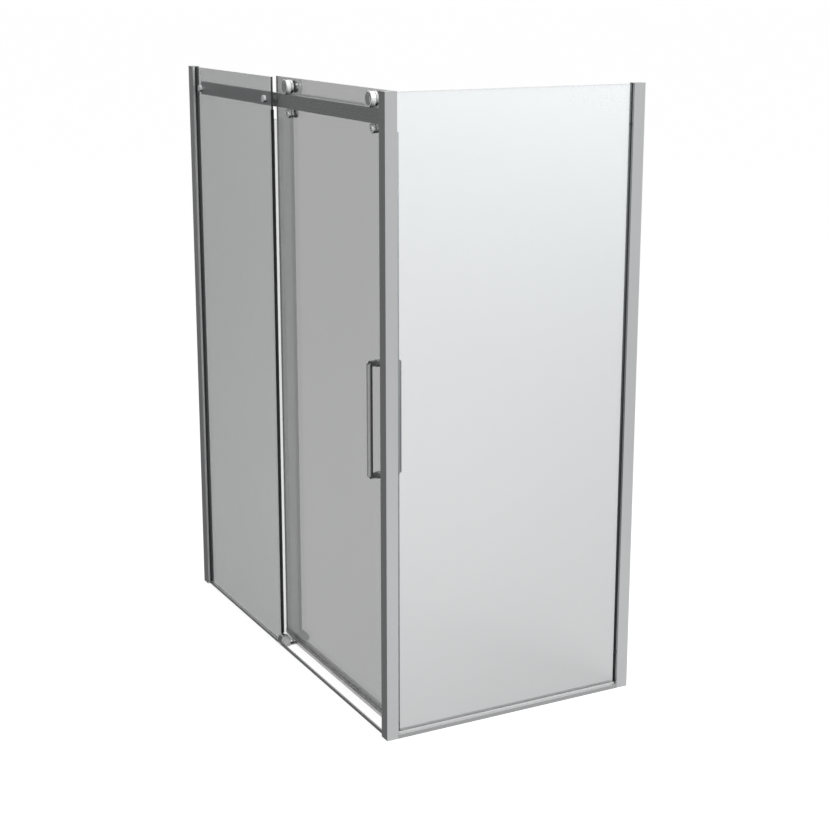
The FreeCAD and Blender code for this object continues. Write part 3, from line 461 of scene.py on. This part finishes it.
@dataclass(frozen=True)
class PaintedReflection(Finish):
    """Polished metal with a painted reflection: the side turned one way is painted in a second
    tone, dark as if a dark part of a room stood there, or light as a painted highlight.

    Attributes:
        toward: The direction that the painted side is turned to, as a vector of length 1.
        start: The cosine to that direction at which the painted tone starts.
        fade: The further cosine over which the painted tone comes in.
        tone: The metal's colour.
        shade: The painted colour of that side: painted shade where it is dark, a painted highlight
            where it is light.
        metallic: The share of mirror against a pale satin.
        roughness: The roughness.
        line: Where a line of painted shade runs round the metal, for the gap behind a wheel, along
            Y in metres, or None.
        line_half: Half that line's width, in metres.
        line_soft: The width over which it fades, in metres.
        line_share: How dark that painted shade is, against 1 for the painted side.
    """

    toward: Place = (0.0, 0.0, -1.0)
    start: float = 0.12
    fade: float = 0.45
    tone: Colour = (0.96, 0.965, 0.97)
    shade: Colour = (0.02, 0.02, 0.022)
    metallic: float = 0.5
    roughness: float = 0.10
    line: float | None = None
    line_half: float = 0.0007
    line_soft: float = 0.0004
    line_share: float = 0.8

    def paint(self, tree: ShaderTree) -> None:
        """Soft smears over the two tones, the metal's own and the painted one."""
        smears = tree.grain((120.0, 120.0, 120.0), detail=3.0)
        # Painted reflection: a mask of the side turned to toward, which gets the painted tone.
        dark = tree.turned_to(self.toward).above(self.start, self.fade)
        if self.line is not None:
            # Painted shade: a dark line round the metal where the gap behind a wheel falls.
            away = abs(tree.along(Axis.Y) - self.line).above(self.line_half, self.line_soft)
            dark = dark.math("MAXIMUM", (1.0 - away) * self.line_share)
        metal = tree.blend(smears, self.tone, scaled(self.tone, 0.95))
        tree.principled(
            Base_Color=tree.blend(dark, metal, self.shade),
            Metallic=self.metallic,
            Roughness=smears * 0.06 + (self.roughness - 0.03),
        )


@dataclass(frozen=True)
class EdgeSeal(Finish):
    """The vinyl seal of the fixed pane: a black root, clear legs and a pale fin.

    Attributes:
        root_x: Where the legs end and the root begins, along X.
        fin_y: Where the root ends and the fin begins, along Y.
        line: The width of the line between two parts, in metres.
    """

    root_x: float = -0.0683
    fin_y: float = -0.424
    line: float = 0.0004

    def paint(self, tree: ShaderTree) -> None:
        """Three parts told apart by their places, with a crisp line between them."""
        fin = tree.along(Axis.Y).above(self.fin_y, self.line)
        root = tree.along(Axis.X).above(self.root_x, self.line) * (1.0 - fin)
        slow = tree.grain((24.0, 24.0, 5.0))
        tree.principled(
            Base_Color=tree.blend(root, (0.80, 0.81, 0.81), (0.012, 0.012, 0.013)),
            Alpha=root * 0.87 + fin * 0.10 + slow * 0.05 + 0.06,
            Roughness=slow * 0.1 + 0.25,
        )


@dataclass(frozen=True)
class BandedVinyl(Finish):
    """Clear vinyl with painted highlight and shade: its lips and hollows show as level bands of
    tone.

    Attributes:
        bands: Each band's lowest height in metres, its painted tone and its opacity, from the foot
            up.
        line: The height of the line between two bands, in metres.
    """

    bands: tuple[tuple[float, float, float], ...] = (
        (0.008, 0.30, 0.50), (0.014, 0.50, 0.28), (0.020, 0.80, 0.30), (0.025, 0.80, 0.32),
        (0.031, 0.10, 0.40),
    )
    line: float = 0.0003

    def paint(self, tree: ShaderTree) -> None:
        """Crisp steps of painted tone and of opacity, over the slow unevenness of an extrusion."""
        height = tree.along(Axis.Z)
        slow = tree.grain((5.0, 24.0, 24.0))
        _, tone, opacity = self.bands[0]
        shade = slow * 0.04 + tone
        solid = slow * 0.04 + (opacity - 0.02)
        for (_, tone, opacity), (level, tone_over, opacity_over) in zip(
            self.bands, self.bands[1:]
        ):
            step = height.above(level, self.line)
            shade = shade + step * (tone_over - tone)
            solid = solid + step * (opacity_over - opacity)
        tree.principled(
            Base_Color=tree.blend(shade, (0.0, 0.0, 0.0), (1.0, 1.0, 1.0)),
            Alpha=solid,
            Roughness=slow * 0.1 + 0.25,
        )


@dataclass(frozen=True)
class Glazing(Finish):
    """A toughened glass pane, which takes on more of the room as it turns from the eye.

    Attributes:
        normal: The axis that the pane faces along.
        body: The painted colour of the pane's top, standing in for the light that it gives back.
        foot: The same at the pane's foot, two metres lower, painted darker than the top.
        edge: The colour of its polished edges.
        haze: The opacity of each face seen straight on.
        turn: What is added to that as the face turns edge-on.
        height: The height over which foot changes to body, in metres.
        rim: How far the surface turns from the pane's normal at an edge, and how softly.
        rim_opacity: The opacity of the edges.
        index: The refractive index.
    """

    normal: Axis = Axis.Y
    body: Colour = (0.62, 0.65, 0.655)
    foot: Colour = (0.60, 0.635, 0.64)
    edge: Colour = (0.012, 0.015, 0.015)
    haze: float = 0.10
    turn: float = 0.59
    height: float = 2.0
    rim: tuple[float, float] = (0.35, 0.5)
    rim_opacity: float = 0.95
    index: float = 1.52

    def paint(self, tree: ShaderTree) -> None:
        """Clear faces with faint dried-water marks, a painted reflection that darkens towards the
        foot, and denser polished edges.
        """
        facing = tree.add("ShaderNodeLayerWeight", None, {"Blend": 0.5}, output="Facing")
        own_normal = tree.add("ShaderNodeTexCoord", output="Normal")
        rim = 1.0 - abs(tree.part_of(own_normal, self.normal)).above(*self.rim)
        marks = tree.grain((38.0, 38.0, 16.0), detail=4.0).above(0.56, 0.3)
        cloud = tree.grain((2.2, 2.2, 1.4))
        faces = facing * self.turn + self.haze + marks * 0.015 + cloud * 0.012
        # Painted reflection: the colour runs with height from foot to body, darker towards the
        # foot.
        body = tree.blend(tree.along(Axis.Z) * (1.0 / self.height), self.foot, self.body)
        tree.principled(
            Base_Color=tree.blend(rim, body, self.edge),
            Alpha=rim * self.rim_opacity + faces * (1.0 - rim),
            Roughness=marks * 0.05 + cloud * 0.02 + 0.02,
            IOR=self.index,
            Specular_IOR_Level=0.8,
        )


@dataclass(frozen=True)
class Moulded(Finish):
    """Moulded rubber, nylon or plastic with a fine grain.

    Attributes:
        tone: The colour.
        roughness: The mean roughness.
        grain: Grain features per metre.
        opacity: 1 for a solid colour and less for a clear vinyl.
    """

    tone: Colour = (0.03, 0.03, 0.032)
    roughness: float = 0.55
    grain: float = 700.0
    opacity: float = 1.0

    def paint(self, tree: ShaderTree) -> None:
        """A fine grain, over slow changes of tone from the mould."""
        fine = tree.grain((self.grain,) * 3, detail=2.0)
        slow = tree.grain((24.0, 24.0, 7.0), detail=2.0)
        pale = tuple(min(part * 1.25 + 0.01, 1.0) for part in self.tone)
        inputs = {
            "Base_Color": tree.blend(fine * 0.4 + slow * 0.6, self.tone, pale),
            "Roughness": fine * 0.12 + slow * 0.10 + (self.roughness - 0.11),
            "Normal": tree.bump(fine, 0.00006, 0.5),
        }
        if self.opacity < 1.0:
            inputs["Alpha"] = slow * 0.10 + (self.opacity - 0.05)
        tree.principled(**inputs)


@dataclass(frozen=True)
class StudioSheet(Finish):
    """A studio surface that looks as pale as its background wherever it is seen.

    Attributes:
        tone: The colour under the lamps.
        glow: How much of the white background it shows besides.
    """

    tone: Colour = (0.48, 0.48, 0.48)
    glow: float = 0.89

    def paint(self, tree: ShaderTree) -> None:
        """Matt paint, with the background added for every ray that sees it."""
        rough = tree.grain((3.0, 3.0, 3.0))
        matt = tree.add(
            "ShaderNodeBsdfPrincipled", None,
            {
                "Base Color": tree.blend(rough, self.tone, scaled(self.tone, 0.995)),
                "Roughness": 0.9,
                "Specular IOR Level": 0.0,
            },
        )
        glow = tree.add("ShaderNodeEmission", None, {"Strength": self.glow})
        lit = tree.add("ShaderNodeAddShader", None, {0: matt, 1: glow})
        tree.surface(tree.add("ShaderNodeMixShader", None, {0: seen_rays(tree), 1: matt, 2: lit}))


@dataclass(frozen=True)
class StudioFlag(Finish):
    """A grey card that only reflections see.

    Attributes:
        level: The brightness that it shows.
    """

    level: float = 0.22

    def paint(self, tree: ShaderTree) -> None:
        """An even grey."""
        tree.surface(tree.add("ShaderNodeEmission", None, {"Strength": self.level}))


def seen_rays(tree: ShaderTree) -> Value:
    """A mask of the rays by which the background is seen, straight or in metal and glass.

    Args:
        tree: The tree that asks.

    Returns:
        1 for those rays and 0 for the rest.
    """
    total = tree.add("ShaderNodeLightPath", output="Is Camera Ray")
    for name in ("Is Glossy Ray", "Is Transmission Ray"):
        total = total.math("MAXIMUM", tree.add("ShaderNodeLightPath", output=name))
    return total


SATIN_PROFILE = Extruded("satin_profile")
CAP_METAL = Extruded("cap_metal")
BLACK_RUBBER = Moulded("black_gasket")
PALE_LINER = Moulded("pale_liner", tone=(0.90, 0.90, 0.90), roughness=0.4)
# Painted shade: the dark colour of the sockets' pits, which are sheets and not recesses.
SOCKET_SHADE = Moulded("socket_shade")
DARK_SCREW = Polished("dark_screw", tone=(0.10, 0.10, 0.105), roughness=0.3)
BEARING_STEEL = Polished("bearing_steel", roughness=0.2)
# Bright metal whose underside is painted dark: a painted reflection.
BRIGHT_CAP = PaintedReflection("bright_cap")
BRUSHED_FITTING = Brushed("brushed_fitting", along=Axis.Z)


def node_centre(node: str) -> Vector:
    """The middle of a solid's box.

    Args:
        node: The solid's name.

    Returns:
        The middle, in metres.
    """
    low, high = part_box(node)
    return (low + high) / 2


def dress(finish: Finish, *nodes: str) -> None:
    """Gives a finish to solids of the frame.

    Args:
        finish: The finish.
        nodes: The solids' names.
    """
    for node in nodes:
        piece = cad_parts[node]
        material = finish.material()
        for place in piece.material_slots:
            place.material = material
        LOG.info("dressed %s in %s", node, finish.name)


def soften(width: float, *nodes: str) -> None:
    """Breaks the sharp edges of solids, so that they catch the light.

    Args:
        width: The width of the broken edge, in metres.
        nodes: The solids' names.
    """
    for node in nodes:
        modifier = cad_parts[node].modifiers.new("broken_edges", "BEVEL")
        modifier.width = width
        modifier.segments = 2
        modifier.limit_method = "ANGLE"
        modifier.angle_limit = BEVEL_ANGLE
        modifier.harden_normals = True


def make_object(name: str, mesh: bmesh.types.BMesh, finish: Finish) -> bpy.types.Object:
    """Turns a finished mesh into an object of the scene.

    Args:
        name: The object's name.
        mesh: Its mesh, in the frame's coordinates. It is freed.
        finish: Its finish.

    Returns:
        The new object.
    """
    data = bpy.data.meshes.new(name)
    mesh.to_mesh(data)
    mesh.free()
    data.materials.append(finish.material())
    made = bpy.data.objects.new(name, data)
    bpy.context.scene.collection.objects.link(made)
    return made


def add_piece(name: str, body: str, finish: Finish, mesh: bmesh.types.BMesh) -> None:
    """Turns a finished mesh into a piece that rides on a body.

    Args:
        name: The piece's name.
        body: The body that carries it.
        finish: Its finish.
        mesh: The mesh, in the frame's coordinates. It is freed.
    """
    bmesh.ops.recalc_face_normals(mesh, faces=mesh.faces)
    piece = make_object(name, mesh, finish)
    piece.data.shade_smooth()
    piece.data.set_sharp_from_angle(angle=SHARP_ANGLE)
    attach(piece, body)
    LOG.info("built %s on %s", name, body)


def spin_profile(
    mesh: bmesh.types.BMesh, profile: list[tuple[float, float]], axis: Axis, centre: Vector,
    steps: int = 40,
) -> None:
    """Adds a turned shape to a mesh.

    Args:
        mesh: The mesh to add to.
        profile: Its outline as radii and places along the axis, in metres.
        axis: The turning axis.
        centre: The point that the places are counted from.
        steps: Sides of the full turn.
    """
    side = Axis.Z.unit if axis is not Axis.Z else Axis.X.unit
    rings = []
    for step in range(steps):
        turn = Matrix.Rotation(math.tau * step / steps, 3, axis.unit)
        arm = turn @ side
        rings.append([mesh.verts.new(centre + arm * r + axis.unit * h) for r, h in profile])
    for step, ring in enumerate(rings):
        after = rings[(step + 1) % steps]
        for index in range(len(profile) - 1):
            mesh.faces.new((ring[index], ring[index + 1], after[index + 1], after[index]))


@dataclass(frozen=True)
class Socket:
    """A six-sided drive socket, drawn as a dark pit in a thin bright rim; the pit is a dark sheet
    just over the screw's face, painted shade where a real recess would be.

    Attributes:
        width: The distance across its corners.
        rim: The width of the rim round it.
        rise: How far the rim stands out.
        seat: How far the rim reaches into the screw's face.
        floor: The height of the pit's floor over that face.
        floor_share: The floor's radius against the pit's.
        core_share: The radius of the floor's middle against the pit's.
        tip: The radius and the height of the floor's innermost ring.
    """

    width: float
    rim: float = 0.0004
    rise: float = 0.00015
    seat: float = 0.0001
    floor: float = 0.00003
    floor_share: float = 0.86
    core_share: float = 0.3
    tip: tuple[float, float] = (0.00005, 0.00002)

    def cut(self, mesh: bmesh.types.BMesh, axis: Axis, centre: Vector, out: float) -> None:
        """Adds one socket, with its painted-shade pit, to a mesh.

        Args:
            mesh: The mesh to add to.
            axis: The screw's axis.
            centre: The middle of the screw's face.
            out: 1 if the face looks up the axis and -1 if it looks down.
        """
        pit = self.width / 2
        profile = [
            (pit + self.rim, -self.seat), (pit + self.rim, self.rise), (pit, self.rise),
            (pit * self.floor_share, self.floor), (pit * self.core_share, self.floor), self.tip,
        ]
        spin_profile(mesh, [(r, h * out) for r, h in profile], axis, centre, steps=6)


@dataclass
class WallProfile:
    """The nested profiles of one wall, with their cap, gasket and screws.

    Attributes:
        run: Which of the two walls.
        socket: The drive socket of each glazing screw.
        heights: The heights of those screws.
        cap_edge: The width of the cap's broken edges.
    """

    run: Run
    socket: Socket = Socket(0.0032)
    heights: tuple[float, ...] = (0.125, 1.0, 1.875)
    cap_edge: float = 0.0004

    def build_sockets(self) -> None:
        """Lays a drive socket with a painted-shade pit on each glazing screw's head."""
        low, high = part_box(f"glazing_screws_{self.run.tag}")
        middle = (low + high) / 2
        axis, out = self.run.screw_axis, self.run.out
        face = high if out > 0 else low
        mesh = bmesh.new()
        for height in self.heights:
            centre = Vector((middle.x, middle.y, height))
            centre[axis.value] = face[axis.value]
            self.socket.cut(mesh, axis, centre, out)
        add_piece(f"screw_sockets_{self.run.tag}", "frame", SOCKET_SHADE, mesh)

    def dress(self) -> None:
        """Finishes the five solids."""
        tag = self.run.tag
        # Painted highlight: the front glazing channel's faces turned to +X are painted near white,
        # as if lit.
        lit_lip = PaintedReflection("lit_profile", toward=(1.0, 0.0, 0.0), start=0.4, fade=0.4,
                           tone=(0.50, 0.505, 0.51), shade=(1.0, 1.0, 1.0), metallic=0.3,
                           roughness=0.3)
        dress(SATIN_PROFILE, f"wall_channel_{tag}")
        dress(lit_lip if self.run is Run.FRONT else SATIN_PROFILE, f"glazing_channel_{tag}")
        dress(CAP_METAL, f"channel_cap_{tag}")
        dress(BLACK_RUBBER, f"glazing_gasket_{tag}")
        dress(DARK_SCREW, f"glazing_screws_{tag}")
        soften(self.cap_edge, f"channel_cap_{tag}")

    def build(self) -> None:
        """Finishes the run's wall profiles and lays the screws' sockets, whose pits are painted
        shade.
        """
        self.dress()
        self.build_sockets()


@dataclass
class CornerPost:
    """The square post at the outer corner, with its cap and the side pane's liner.

    Attributes:
        cap_edge: The width of the cap's broken edges.
    """

    cap_edge: float = 0.0004

    def build(self) -> None:
        """Finishes the post."""
        dress(SATIN_PROFILE, "corner_post")
        dress(CAP_METAL, "corner_post_cap")
        dress(PALE_LINER, "post_glass_liner")
        soften(self.cap_edge, "corner_post_cap")


@dataclass
class FixedPanes:
    """The fixed panes with what stands under them and the seal on the front one's edge.

    Attributes:
        lip_height: How far the vinyl lip stands over the side pane's liner.
        lip_width: The lip's width at its foot.
        lip_tip: Its width at the top.
        lip_seat: How far it reaches down into the liner.
        lip_shoulder: The share of its height at which it starts to narrow.
    """

    lip_height: float = 0.0035
    lip_width: float = 0.0016
    lip_tip: float = 0.0005
    lip_seat: float = 0.0004
    lip_shoulder: float = 0.4

    def build_foot_lip(self) -> None:
        """Lays the vinyl lip that closes the joint at the side pane's foot."""
        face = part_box("side_glass")[1].x
        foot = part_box("side_base_liner")[1].z
        start, end = (corner.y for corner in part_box("side_base_profile"))
        shoulder = foot + self.lip_height * self.lip_shoulder
        section = [
            (face, foot - self.lip_seat), (face + self.lip_width, foot - self.lip_seat),
            (face + self.lip_width, shoulder), (face + self.lip_tip, foot + self.lip_height),
            (face, foot + self.lip_height),
        ]
        mesh = bmesh.new()
        ends = [[mesh.verts.new((x, y, z)) for x, z in section] for y in (start, end)]
        for index, corner in enumerate(ends[0]):
            after = (index + 1) % len(section)
            mesh.faces.new((corner, ends[0][after], ends[1][after], ends[1][index]))
        for ring in ends:
            mesh.faces.new(ring)
        vinyl = Moulded("white_lip", tone=(0.95, 0.95, 0.95), roughness=0.4)
        add_piece("side_foot_lip", "frame", vinyl, mesh)

    def build(self) -> None:
        """Finishes the panes and their supports, and lays the side pane's lip."""
        self.build_foot_lip()
        dress(Glazing("front_glazing", normal=Axis.Y), "fixed_glass")
        # The side pane's painted reflection runs from near white at the top to near black at the
        # foot.
        dress(Glazing("side_glazing", normal=Axis.X, body=(0.90, 0.97, 1.0),
                      foot=(0.03, 0.055, 0.07), haze=0.18, turn=0.55), "side_glass")
        dress(EdgeSeal("fixed_seal"), "fixed_edge_seal")
        dress(BLACK_RUBBER, "setting_blocks")
        # Painted highlight: the base profile's top, turned to +Z, is painted near white.
        dress(PaintedReflection("base_metal", toward=(0.0, 0.0, 1.0), start=0.4, fade=0.4,
                       tone=(0.44, 0.445, 0.45), shade=(0.97, 0.97, 0.97), metallic=0.4,
                       roughness=0.3), "side_base_profile")
        dress(PALE_LINER, "side_base_liner")
        # Painted shade: the sill's front, turned to -Y, is painted near black.
        dress(PaintedReflection("sill_metal", toward=(0.0, -1.0, 0.0), start=0.4, shade=(0.02, 0.02, 0.021),
                       metallic=0.5, roughness=0.3), "sill")


@dataclass
class Rail:
    """The flat rail with its bracket, connectors and end stop."""

    def build(self) -> None:
        """Finishes the rail and its fittings."""
        dress(Brushed("brushed_rail"), "rail")
        dress(BRUSHED_FITTING, "rail_end_cap", "rail_post_bracket", "connector_spacers")
        dress(DARK_SCREW, "bracket_screws", "connector_bolts")
        dress(BRIGHT_CAP, "connector_caps")
        dress(Polished("bright_steel"), "rail_stop")
        dress(BLACK_RUBBER, "connector_grommets", "rail_stop_buffer")


@dataclass
class StrikeAndGuide:
    """The strike on the post and the guide on the floor.

    Attributes:
        drum_radius: The radius of the guide's drum.
    """

    drum_radius: float = 0.020

    def build(self) -> None:
        """Finishes the strike and the guide."""
        dress(SATIN_PROFILE, "strike_profile")
        dress(Moulded("magnet_strip", tone=(0.12, 0.12, 0.125), roughness=0.5), "strike_magnet")
        centre = node_centre("guide_drum")
        low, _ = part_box("guide_drum")
        middle = (centre.x, low.y + self.drum_radius, self.drum_radius)
        dress(Turned("turned_guide", axis=Axis.X, centre=middle, tone=(0.46, 0.46, 0.465),
                     metallic=0.8, roughness=0.2), "guide_drum")
        dress(Moulded("clear_guide", tone=(0.55, 0.56, 0.56), roughness=0.25, opacity=0.45),
              "guide_fork")


@dataclass
class Door:
    """The sliding pane with its seals and handles.

    Attributes:
        collar_radius: The radius of the collars on the handles' legs.
        grub_place: How far a collar's set screw stands from the middle of the pane.
        grub_socket: The drive socket of a set screw.
    """

    collar_radius: float = 0.0115
    grub_place: float = 0.0185
    grub_socket: Socket = Socket(0.0030)

    def build_set_screws(self) -> None:
        """Adds the painted-shade drive socket of the small set screw under each of the four
        collars.
        """
        low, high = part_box("handle_collars")
        middle = (low + high) / 2
        mesh = bmesh.new()
        for z in (low.z, high.z - 2 * self.collar_radius):
            for y in (middle.y - self.grub_place, middle.y + self.grub_place):
                self.grub_socket.cut(mesh, Axis.Z, Vector((middle.x, y, z)), -1.0)
        add_piece("collar_set_screws", "door", SOCKET_SHADE, mesh)

    def build(self) -> None:
        """Finishes the pane, its seals and its handles."""
        self.build_set_screws()
        # The door pane's painted reflection is dark grey, and darker towards the foot.
        dress(Glazing("door_glazing", normal=Axis.Y, body=(0.17, 0.18, 0.184),
                      foot=(0.12, 0.132, 0.138), turn=0.755), "door_glass")
        dress(Moulded("clear_seal", tone=(0.80, 0.81, 0.81), roughness=0.3, opacity=0.25),
              "door_magnet_seal")
        # The drip seal's lips and hollows get painted highlight and shade as level bands.
        dress(BandedVinyl("drip_vinyl"), "door_drip_seal")
        # Painted reflection: the handles are painted light on the side turned to -Y and dark on
        # the side turned to +Y.
        dress(PaintedReflection("handle_steel", toward=(0.0, 1.0, 0.0), start=-1.0, fade=1.45,
                       tone=(0.90, 0.905, 0.91), shade=(0.06, 0.06, 0.062), metallic=0.3,
                       roughness=0.3), "handle_outer", "handle_inner")
        # Painted shade: the collars' undersides are painted dark.
        dress(PaintedReflection("collar_steel", tone=(0.60, 0.60, 0.605), roughness=0.2),
              "handle_collars")
        dress(BLACK_RUBBER, "handle_grommets")
        dress(DARK_SCREW, "handle_bolts")


@dataclass
class RollerSet:
    """The rollers on the rail and the wheels under it, with what carries them.

    Attributes:
        bolt_socket: The drive socket in each small wheel's bolt.
        line_inset: How far the line of painted shade round a wheel, for the gap to its hub, lies
            from its back.
    """

    bolt_socket: Socket = Socket(0.0072, rim=0.0006)
    line_inset: float = 0.001

    def build_sockets(self) -> None:
        """Lays the drive sockets, with painted-shade pits, on the small wheels' bolts."""
        low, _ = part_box("lift_bolts")
        mesh = bmesh.new()
        for side in ("left", "right"):
            centre = node_centre(f"lift_wheel_{side}")
            self.bolt_socket.cut(mesh, Axis.Y, Vector((centre.x, low.y, centre.z)), -1.0)
        add_piece("lift_bolt_sockets", "door", SOCKET_SHADE, mesh)

    def build(self) -> None:
        """Finishes both sides' wheels and their shared mounts."""
        self.build_sockets()
        for side in ("left", "right"):
            middle = tuple(node_centre(f"roller_wheel_{side}"))
            for kind, node in (("wheel", "roller_wheel"), ("lift", "lift_wheel")):
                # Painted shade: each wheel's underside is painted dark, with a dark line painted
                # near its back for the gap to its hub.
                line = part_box(f"{node}_{side}")[1].y - self.line_inset
                dress(PaintedReflection(f"{kind}_rim_{side}", line=line), f"{node}_{side}")
            dress(Turned(f"roller_face_{side}", centre=middle, tone=(0.72, 0.725, 0.73)),
                  f"roller_cover_{side}")
            dress(Moulded("pale_nylon", tone=(0.70, 0.70, 0.69), roughness=0.4),
                  f"roller_tread_{side}")
            dress(BEARING_STEEL, f"roller_bearing_{side}")
        # Painted shade: the hubs, inner caps and lift bolts have their undersides painted dark.
        dress(PaintedReflection("hub_metal"), "roller_hubs", "lift_hubs")
        dress(BRIGHT_CAP, "roller_inner_caps", "lift_inner_caps", "lift_bolts")
        dress(BEARING_STEEL, "roller_axles")
        dress(BLACK_RUBBER, "roller_grommets", "lift_grommets")


@dataclass(frozen=True)
class Lamp:
    """A square lamp that only lights, and doesn't show in what it lights.

    Attributes:
        name: Its name.
        place: Where it hangs.
        target: What it points at.
        size: The side of its square, in metres.
        power: Its power in watts.
    """

    name: str
    place: Place
    target: Place
    size: float
    power: float

    def hang(self) -> bpy.types.Object:
        """Adds the lamp to the scene.

        Returns:
            The lamp.
        """
        data = bpy.data.lights.new(self.name, "AREA")
        data.shape = "SQUARE"
        data.size = self.size
        data.energy = self.power
        lamp = bpy.data.objects.new(self.name, data)
        lamp.location = self.place
        aim = Vector(self.target) - Vector(self.place)
        lamp.rotation_euler = aim.to_track_quat("-Z", "Y").to_euler()
        lamp.visible_camera = False
        lamp.visible_glossy = False
        bpy.context.scene.collection.objects.link(lamp)
        return lamp


def light_only(lamp: bpy.types.Object, nodes: tuple[str, ...]) -> None:
    """Keeps a lamp's light, and its mirror image, to some of the solids.

    Args:
        lamp: The lamp.
        nodes: The solids' names.
    """
    lamp.visible_glossy = True
    lit = bpy.data.collections.new(f"lit_by_{lamp.name}")
    for node in nodes:
        lit.objects.link(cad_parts[node])
    lamp.light_linking.receiver_collection = lit


@dataclass
class Studio:
    """The floor, the light, the reflection card and the camera.

    Attributes:
        floor_half: Half the floor's side.
        floor_level: The floor's height, just under the object.
        flag_section: The reflection card's section, as Y and Z from the floor up.
        flag_ends: Where the card starts and ends along X.
        ambient: The light that the room gives from all round.
        key: The large lamp beside the side pane.
        top: The lamp above.
        glint: The small lamp for the polished fittings.
        glint_nodes: The solids that it lights.
        window: Width and height of the soft light that the door pane shows, in metres.
        window_corner: Its lower corner at high X.
        window_level: Its brightness, against 1 for the white background.
        eye: The camera's place.
        heading: The camera's bearing from +X towards +Y, in degrees.
        pitch: The camera's tilt from level, in degrees.
        sensor: The sensor's width, in millimetres.
        lens: The focal length, in millimetres.
        rise: The lens shift that keeps the object in the middle.
        far: The farthest distance that the camera sees, past the floor's corners.
    """

    floor_half: float = 120.0
    floor_level: float = -0.0005
    flag_section: tuple[tuple[float, float], ...] = (
        (-0.4505, 0.0004), (-1.4, 0.0004), (-1.75, 0.06), (-2.0, 0.4), (-2.0, 5.0),
    )
    flag_ends: tuple[float, float] = (-9.0, 0.8)
    ambient: float = 0.22
    key: Lamp = Lamp("key", (3.0, 0.6, 3.3), (0.8, 0.1, 1.9), size=1.8, power=70.0)
    top: Lamp = Lamp("top", (-1.2, 0.3, 4.6), (0.0, 0.0, 0.6), size=2.4, power=21.0)
    glint: Lamp = Lamp("glint", (2.5, -1.8, 4.0), (0.3, -0.41, 1.95), size=0.9, power=80.0)
    glint_nodes: tuple[str, ...] = (
        "roller_wheel_left", "roller_wheel_right", "roller_tread_left", "roller_tread_right",
        "roller_hubs", "roller_inner_caps", "lift_wheel_left", "lift_wheel_right", "lift_hubs",
        "lift_bolts", "lift_inner_caps", "connector_caps",
    )
    window: tuple[float, float] = (3.4, 3.4)
    window_corner: Place = (0.9, -0.4503, -0.4)
    window_level: float = 1.10
    eye: Place = (5.034, -2.581, 2.314)
    heading: float = 152.28
    pitch: float = -13.44
    sensor: float = 36.0
    lens: float = 71.84
    rise: float = -0.05
    far: float = 500.0

    def build(self) -> None:
        """Sets up the whole studio."""
        self.lay_floor()
        self.hang_flag()
        self.light_room()
        self.key.hang()
        self.top.hang()
        self.light_reflection()
        light_only(self.glint.hang(), self.glint_nodes)
        self.add_camera()
        bpy.context.scene.view_settings.view_transform = "Standard"

    def lay_floor(self) -> None:
        """Lays a plain pale floor that reaches the horizon."""
        half = self.floor_half
        mesh = bmesh.new()
        corners = [(-half, -half), (half, -half), (half, half), (-half, half)]
        mesh.faces.new([mesh.verts.new((x, y, self.floor_level)) for x, y in corners])
        make_object("floor", mesh, StudioSheet("studio_floor"))

    def hang_flag(self) -> None:
        """Bends a grey card from the floor up in front of the door, for reflections only."""
        mesh = bmesh.new()
        far, near = (
            [mesh.verts.new((x, y, z)) for y, z in self.flag_section] for x in self.flag_ends
        )
        for index in range(len(self.flag_section) - 1):
            mesh.faces.new((far[index], far[index + 1], near[index + 1], near[index]))
        card = make_object("front_flag", mesh, StudioFlag("flag_grey"))
        card.visible_camera = False
        card.visible_diffuse = False
        card.visible_transmission = False
        card.visible_shadow = False

    def light_room(self) -> None:
        """Gives the room a white background and a lower, even light."""
        world = bpy.data.worlds.new("studio")
        world.use_nodes = True
        bpy.context.scene.world = world
        tree = ShaderTree(world.node_tree)
        white = (1.0, 1.0, 1.0, 1.0)
        room = tree.add("ShaderNodeBackground", None, {0: white, "Strength": self.ambient})
        seen = tree.add("ShaderNodeBackground", None, {0: white, "Strength": 1.0})
        light = tree.add("ShaderNodeMixShader", None, {0: seen_rays(tree), 1: room, 2: seen})
        tree.add("ShaderNodeOutputWorld", None, {"Surface": light})

    def light_reflection(self) -> None:
        """Hangs a wide soft light before the door, which shows in the door pane only."""
        width, height = self.window
        x, y, z = self.window_corner
        middle = Vector((x - width / 2, y, z + height / 2))
        power = self.window_level * WHITE_POWER * width * height
        lamp = Lamp("window", middle, middle + Axis.Y.unit, width, power).hang()
        lamp.data.shape = "RECTANGLE"
        lamp.data.size_y = height
        lamp.visible_diffuse = False
        light_only(lamp, ("door_glass",))

    def add_camera(self) -> None:
        """Places the camera where the photograph was taken from."""
        data = bpy.data.cameras.new("camera")
        data.sensor_width = self.sensor
        data.lens = self.lens
        data.shift_y = self.rise
        data.clip_end = self.far
        camera = bpy.data.objects.new("camera", data)
        camera.location = self.eye
        camera.rotation_euler = (
            math.radians(90.0 + self.pitch), 0.0, math.radians(self.heading - 90.0)
        )
        bpy.context.scene.collection.objects.link(camera)
        bpy.context.scene.camera = camera


def main() -> None:
    """Dresses the enclosure and sets up the studio."""
    logging.basicConfig(level=logging.INFO, format="%(name)s: %(message)s")
    sub_assemblies = [
        WallProfile(Run.FRONT), WallProfile(Run.SIDE), CornerPost(), FixedPanes(), Rail(),
        StrikeAndGuide(), Door(), RollerSet(), Studio(),
    ]
    for part in sub_assemblies:
        part.build()
        LOG.info("finished %s", type(part).__name__)


if __name__ == "__main__":
    main()
